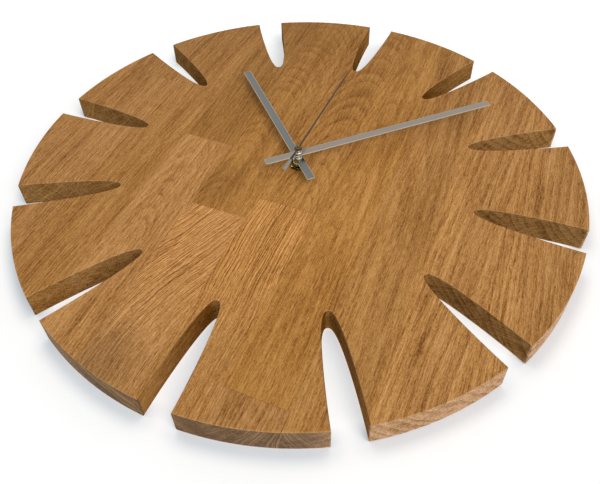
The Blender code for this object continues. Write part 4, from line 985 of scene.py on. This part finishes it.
def hub_cap():
    """The second hand's bush: a bright drum below the hand and a head with a painted dark reflection."""
    low, high = heights("second_hand_boss")
    hand_low, hand_high = heights("second_hand")
    profile = [
        (CAP_RADIUS, high),
        (CAP_RADIUS, hand_high),
        (CAP_NECK, hand_high),
        (CAP_NECK, hand_low),
        (HUB_RADIUS, hand_low),
        (HUB_RADIUS, low),
        (ARBOR_BORE, low),
        (ARBOR_BORE, high),
    ]
    mesh = turned_mesh("cap", rounded(profile, CAP_EDGE))
    finishes = [FINISHES["nickel_plate"], CAP_PAINTED_REFLECTION]
    made = piece("hub_cap", mesh, "second_work", finishes, ["second_hand_boss"])
    # The head gets the painted dark reflection
    for face in made.data.polygons:
        face.material_index = 1 if -face.center.y > hand_high - WELD else 0


def hand_boss(node, name, bore, body):
    """The bush below a hand."""
    low, high = heights(node)
    middle = (low + high) / 2
    outer = bore + BOSS_WALL
    profile = [
        (outer, high),
        (outer, middle),
        (outer - BOSS_LIP, middle),
        (outer - BOSS_LIP, low),
        (bore, low),
        (bore, high),
    ]
    mesh = turned_mesh(name, rounded(profile, CAP_EDGE))
    piece(name, mesh, body, [FINISHES["nickel_plate"]], [node])


def minute_nut():
    """The round nut on the minute hand, with a fine straight knurl."""
    low, high = heights("minute_nut")
    profile = [
        (HUB_RADIUS - BOSS_LIP, high),
        (HUB_RADIUS, high - BOSS_LIP),
        (HUB_RADIUS, low),
        (MINUTE_BORE, low),
        (MINUTE_BORE, high),
    ]

    def knurl(radius, turn, height):
        if radius < HUB_RADIUS - CAP_EDGE:
            return 0.0
        return CAP_EDGE * (0.5 - 0.5 * cos(KNURL_COUNT * turn))

    mesh = turned_mesh("nut", rounded(profile, CAP_EDGE), KNURL_COUNT * KNURL_STEPS, knurl)
    piece("minute_hand_nut", mesh, "minute_work", [FINISHES["nickel_plate"]], ["minute_nut"])


def bushing():
    """The threaded tube, with its flange inside the board."""
    low, high = heights("threaded_bushing")
    flange_low, flange_high = heights("rubber_washer")
    flange = (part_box("threaded_bushing")[1].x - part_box("threaded_bushing")[0].x) / 2
    thread_low = flange_high + THREAD_PITCH
    thread_high = high - BUSHING_EDGE
    rings = ceil((thread_high - thread_low) / THREAD_PITCH * THREAD_RINGS)
    rise = (thread_high - thread_low) / rings
    profile = [(BUSHING_RADIUS - BUSHING_EDGE, high)]
    profile += [(BUSHING_RADIUS, thread_high - rise * ring) for ring in range(rings + 1)]
    profile += [
        (BUSHING_RADIUS, flange_high),
        (flange, flange_high),
        (flange, flange_low),
        (BUSHING_RADIUS, flange_low),
        (BUSHING_RADIUS, low),
        (BUSHING_BORE, low),
        (BUSHING_BORE, high),
    ]

    def thread(radius, turn, height):
        if radius < BUSHING_RADIUS - WELD or not thread_low <= height <= high:
            return 0.0
        share = (height / THREAD_PITCH - turn / (2 * pi)) % 1
        fade = min(1.0, (height - thread_low) / THREAD_PITCH)
        return THREAD_DEPTH * fade * abs(2 * share - 1)

    mesh = turned_mesh("bushing", profile, FINE_STEPS, thread)
    finishes = [FINISHES["dark_brass"], WORN_BRASS_AND_HIGHLIGHT]
    made = piece("bushing_thread", mesh, "clock", finishes, ["threaded_bushing"])
    # Worn brass with a painted highlight on the tube's top
    for face in made.data.polygons:
        face.material_index = 1 if -face.center.y > thread_high + WELD else 0


def bushing_nut():
    """The hexagon nut, with its corners turned off at the top."""
    low, high = heights("bushing_nut")
    half = NUT_ACROSS_FLATS / 2
    corner = half / cos(pi / 6)
    turns = [NUT_TURN + side * pi / 3 + pi / 2 for side in range(6)]
    hexagon = [(corner * cos(turn), corner * sin(turn)) for turn in turns]
    mesh = flat_mesh("nut", [hexagon, circle(NUT_BORE)], low, high)
    slope = (corner - half) / 2
    cone = [
        (0, high + OVERRUN),
        (half - OVERRUN, high + OVERRUN),
        (corner + slope, high - 2 * slope),
        (corner + slope, low - OVERRUN),
        (0, low - OVERRUN),
    ]
    mesh = shaped(mesh, [turned_mesh("chamfer", cone)], "INTERSECT")
    finishes = [FINISHES["dark_brass"], WORN_BRASS_AND_HIGHLIGHT]
    made = piece("hexagon_nut", mesh, "clock", finishes, ["bushing_nut"], DIAL, NUT_WEAR, 1)
    # Worn brass with a painted highlight on the chamfers
    for face in made.data.polygons:
        face.material_index = 1 if NUT_SLOPE < -face.normal.y < FLAT else 0


# Back


def hanger_screw(node, name):
    """A countersunk screw with a cross recess."""
    low, high = heights(node)
    where = centre_of(node)
    head = (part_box(node)[1].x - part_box(node)[0].x) / 2
    profile = [
        (0, low),
        (head, low),
        (head, low + SCREW_RIM),
        (SCREW_RADIUS, low + SCREW_HEAD_DEPTH),
        (SCREW_RADIUS, high - SCREW_TIP),
        (0, high),
    ]
    half = CROSS_WIDTH / 2
    cross = []
    for turn in (CROSS_TURN, CROSS_TURN + pi / 2):
        corners = [(-CROSS_REACH, -half), (CROSS_REACH, -half), (CROSS_REACH, half), (-CROSS_REACH, half)]
        loop = [(x * cos(turn) - y * sin(turn), x * sin(turn) + y * cos(turn)) for x, y in corners]
        cross.append(flat_mesh("cross", [loop], low - OVERRUN, low + CROSS_DEPTH))
    mesh = shaped(turned_mesh("screw", rounded(profile, SCREW_RIM)), cross)
    place = DIAL @ Matrix.Translation((where.x, where.z - SHAFT.z, 0))
    piece(name, mesh, "clock", [FINISHES["zinc_plate"]], [node], place)


def battery():
    """A round cell in a plain sleeve, with bare metal at both ends."""
    low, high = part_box("battery")
    radius = (high.z - low.z) / 2
    length = high.x - low.x - NUB_LENGTH
    rim = radius - 2 * CELL_EDGE
    profile = [
        (0, 0),
        (rim - CELL_EDGE, 0),
        (rim, CELL_GROOVE),
        (radius - CELL_EDGE, 0),
        (radius, CELL_EDGE),
        (radius, length - CELL_EDGE),
        (radius - CELL_EDGE, length),
        (rim, length - CELL_GROOVE),
        (NUB_RADIUS, length - CELL_GROOVE),
        (NUB_RADIUS, length + NUB_LENGTH),
        (0, length + NUB_LENGTH),
    ]
    mesh = turned_mesh("cell", rounded(profile, CELL_EDGE / 2))
    middle = (low + high) / 2
    place = Matrix.Translation((low.x, middle.y, middle.z)) @ Matrix.Rotation(pi / 2, 4, "Y")
    finishes = [FINISHES["battery_sleeve"], FINISHES["bright_steel"]]
    made = piece("round_cell", mesh, "clock", finishes, ["battery"], place)
    for face in made.data.polygons:
        off_middle = hypot(face.center.y - middle.y, face.center.z - middle.z)
        face.material_index = 1 if off_middle < radius - CELL_EDGE else 0


def dress_nodes():
    """The finish of every CAD node that shows as it is, with its moulded or sheared edges softened."""
    for node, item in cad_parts.items():
        for slot in item.material_slots:
            slot.material = FINISHES.get(slot.material.name, slot.material)
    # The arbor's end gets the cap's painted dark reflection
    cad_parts["seconds_arbor"].material_slots[0].material = CAP_PAINTED_REFLECTION
    for node in ("front_case", "rear_cover", "setting_knob", "hanger_plate"):
        soften(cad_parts[node], CASE_EDGE)


# Stage


def camera():
    """The photograph's camera."""
    data = bpy.data.cameras.new("camera")
    data.lens = CAMERA_LENS
    data.shift_x, data.shift_y = CAMERA_SHIFT
    data.clip_start = CAMERA_NEAR
    item = loose_object("camera", data)
    item.location = CAMERA_PLACE
    item.rotation_euler = CAMERA_TURN
    bpy.context.scene.camera = item


def lamp(name, level, place, angle):
    """A distant soft lamp, by how bright it makes a white surface that faces it."""
    data = bpy.data.lights.new(name, "SUN")
    data.energy = level * pi
    data.angle = angle
    item = loose_object(name, data)
    item.rotation_euler = Vector(place).to_track_quat("Z", "Y").to_euler()


def background_share(tree):
    """1 for the rays that show the background, straight or in metal and glass, and 0 for the rest."""
    path = tree.nodes.new("ShaderNodeLightPath")
    total = path.outputs["Is Camera Ray"]
    for name in ("Is Glossy Ray", "Is Transmission Ray"):
        either = tree.nodes.new("ShaderNodeMath")
        either.operation = "MAXIMUM"
        tree.links.new(total, either.inputs[0])
        tree.links.new(path.outputs[name], either.inputs[1])
        total = either.outputs[0]
    return total


def room():
    """An even pale room, and white where the background shows."""
    world = bpy.data.worlds.new("room")
    bpy.context.scene.world = world
    world.use_nodes = True
    tree = world.node_tree
    light = tree.nodes["Background"]
    light.inputs["Color"].default_value = (*ROOM_COLOUR, 1)
    light.inputs["Strength"].default_value = ROOM_LEVEL
    white = tree.nodes.new("ShaderNodeBackground")
    white.inputs["Color"].default_value = (1, 1, 1, 1)
    white.inputs["Strength"].default_value = 1.0
    choose = tree.nodes.new("ShaderNodeMixShader")
    tree.links.new(background_share(tree), choose.inputs[0])
    tree.links.new(light.outputs[0], choose.inputs[1])
    tree.links.new(white.outputs[0], choose.inputs[2])
    tree.links.new(choose.outputs[0], tree.nodes["World Output"].inputs["Surface"])


def wall():
    """The pale surface that the clock lies against. It shows from the clock's side only.

    Its paint glows by what the lamps leave it short of white, so only shadows show on it. It glows
    more under the clock and near its top, where the photograph is brighter, and less elsewhere.
    """
    half = STAGE_HALF
    mesh = bpy.data.meshes.new("wall")
    corners = [(-half, 0, -half), (half, 0, -half), (half, 0, half), (-half, 0, half)]
    mesh.from_pydata(corners, [], [(0, 1, 2, 3)])
    item = loose_object("wall", mesh)
    item.location = (0, STAGE_SETBACK, SHAFT.z)
    paint = Finish("wall_paint")
    tree = paint.tree
    tree.nodes.remove(paint.shader)
    diffuse = paint.node("ShaderNodeBsdfDiffuse", (*STAGE_COLOUR, 1))
    lamps = -Vector(FRONT_FROM).normalized().y * FRONT_LEVEL
    lit = [level * (share * ROOM_LEVEL + lamps) for level, share in zip(STAGE_COLOUR, ROOM_COLOUR)]
    outside = paint.spread(paint.measure("LENGTH", paint.place), *STAGE_CHANGE)
    outside = paint.times(outside, paint.spread(paint.split(paint.place)[2], *STAGE_TOP))
    outer = tuple(white - level for white, level in zip(STAGE_WHITE, lit))
    inner = tuple(white - level for white, level in zip(STAGE_WHITE_INSIDE, lit))
    missing = paint.mix(outside, inner, outer)
    # A painted shadow close to the clock: the glow drops by the ambient occlusion there
    near = paint.node("ShaderNodeAmbientOcclusion")
    near.inputs["Distance"].default_value = CONTACT_REACH
    near = paint.times(paint.math("SUBTRACT", 1.0, near.outputs["AO"]), outside)
    missing = paint.vector("SUBTRACT", missing, paint.scaled(near, CONTACT_SHADE))
    missing = paint.vector("MAXIMUM", missing, grey(0.0))
    glow = paint.node("ShaderNodeEmission", missing, background_share(tree))
    both = paint.node("ShaderNodeAddShader", diffuse.outputs[0], glow.outputs[0])
    clear = paint.node("ShaderNodeBsdfTransparent")
    facing = paint.node("ShaderNodeNewGeometry").outputs["Backfacing"]
    choose = paint.node("ShaderNodeMixShader", facing, both.outputs[0], clear.outputs[0])
    tree.links.new(choose.outputs[0], tree.nodes["Material Output"].inputs["Surface"])
    mesh.materials.append(paint.material)
    item.visible_shadow = False
    item.visible_diffuse = False


bpy.context.scene.view_settings.view_transform = "Standard"
camera()
room()
wall()
lamp("front", FRONT_LEVEL, FRONT_FROM, FRONT_ANGLE)
lamp("rear", REAR_LEVEL, REAR_FROM, REAR_ANGLE)

OAK = oak()
# The hour hand is the same brushed aluminium as the minute hand, painted darker for its duller reflection
HOUR_METAL_PAINTED_DARKER = brushed_metal("brushed_hour_hand", srgb(118, 121, 118), HAND_TURNS["hour_hand"])
MINUTE_METAL = brushed_metal("brushed_minute_hand", srgb(150, 142, 132), HAND_TURNS["minute_hand"])
TAIL_METAL = brushed_metal("brushed_tail", srgb(142, 137, 130), HAND_TURNS["second_hand"], TAIL_PAINTED_REFLECTION)
CUT_EDGE = plain_finish("cut_edge", srgb(194, 182, 160), 0.3, 1.0)
# A painted dark reflection on the cap's head and the arbor's end
CAP_PAINTED_REFLECTION = plain_finish("cap_top_painted_reflection", srgb(104, 98, 70), 0.28, 1.0)
# Brass worn bright on the nut's chamfers and the tube's top, with a painted highlight
WORN_BRASS_AND_HIGHLIGHT = plain_finish("brass_worn_and_highlight", srgb(204, 186, 118), 0.22, 1.0)
FINISHES = {
    "dark_steel": plain_finish("dark_steel_blued", srgb(84, 72, 60), 0.35, 1.0),
    "nickel_plate": plain_finish("nickel_plated", srgb(204, 200, 188), 0.12, 1.0, spread=0.06),
    "dark_brass": plain_finish("brass_aged", srgb(88, 76, 36), 0.24, 1.0),
    "bright_steel": plain_finish("steel_bright", srgb(176, 178, 180), 0.25, 1.0),
    "zinc_plate": plain_finish("zinc_plated", srgb(150, 153, 156), 0.42, 1.0, grain=0.8, spread=0.2),
    "case_plastic": plain_finish(
        "case_moulded", srgb(40, 41, 43), 0.55, grain=3.0, spread=0.2, depth=COARSE_RELIEF
    ),
    "chip_plastic": plain_finish("chip_resin", srgb(24, 24, 26), 0.4),
    "gear_plastic": plain_finish("gear_moulded", srgb(222, 220, 208), 0.45),
    "rubber": plain_finish("rubber_black", srgb(28, 28, 30), 0.8, depth=COARSE_RELIEF),
    "ferrite": plain_finish("ferrite_grey", srgb(52, 50, 50), 0.6),
    "copper_wire": plain_finish("copper_enamelled", srgb(186, 104, 62), 0.3, 1.0),
    "circuit_board": plain_finish("circuit_resin", srgb(120, 96, 48), 0.45),
    "battery_sleeve": plain_finish("sleeve_plain", srgb(88, 96, 106), 0.3, 0.5),
}

dress_nodes()
dial_board()
bar_hand("hour_hand", HOUR_BORE, "hour_work", [HOUR_METAL_PAINTED_DARKER, CUT_EDGE])
bar_hand("minute_hand", MINUTE_BORE, "minute_work", [MINUTE_METAL, CUT_EDGE])
second_hand()
hub_cap()
hand_boss("hour_hand_boss", "hour_hand_bush", HOUR_BORE, "hour_work")
hand_boss("minute_hand_boss", "minute_hand_bush", MINUTE_BORE, "minute_work")
minute_nut()
bushing()
bushing_nut()
hanger_screw("hanger_screw_left", "left_screw")
hanger_screw("hanger_screw_right", "right_screw")
battery()
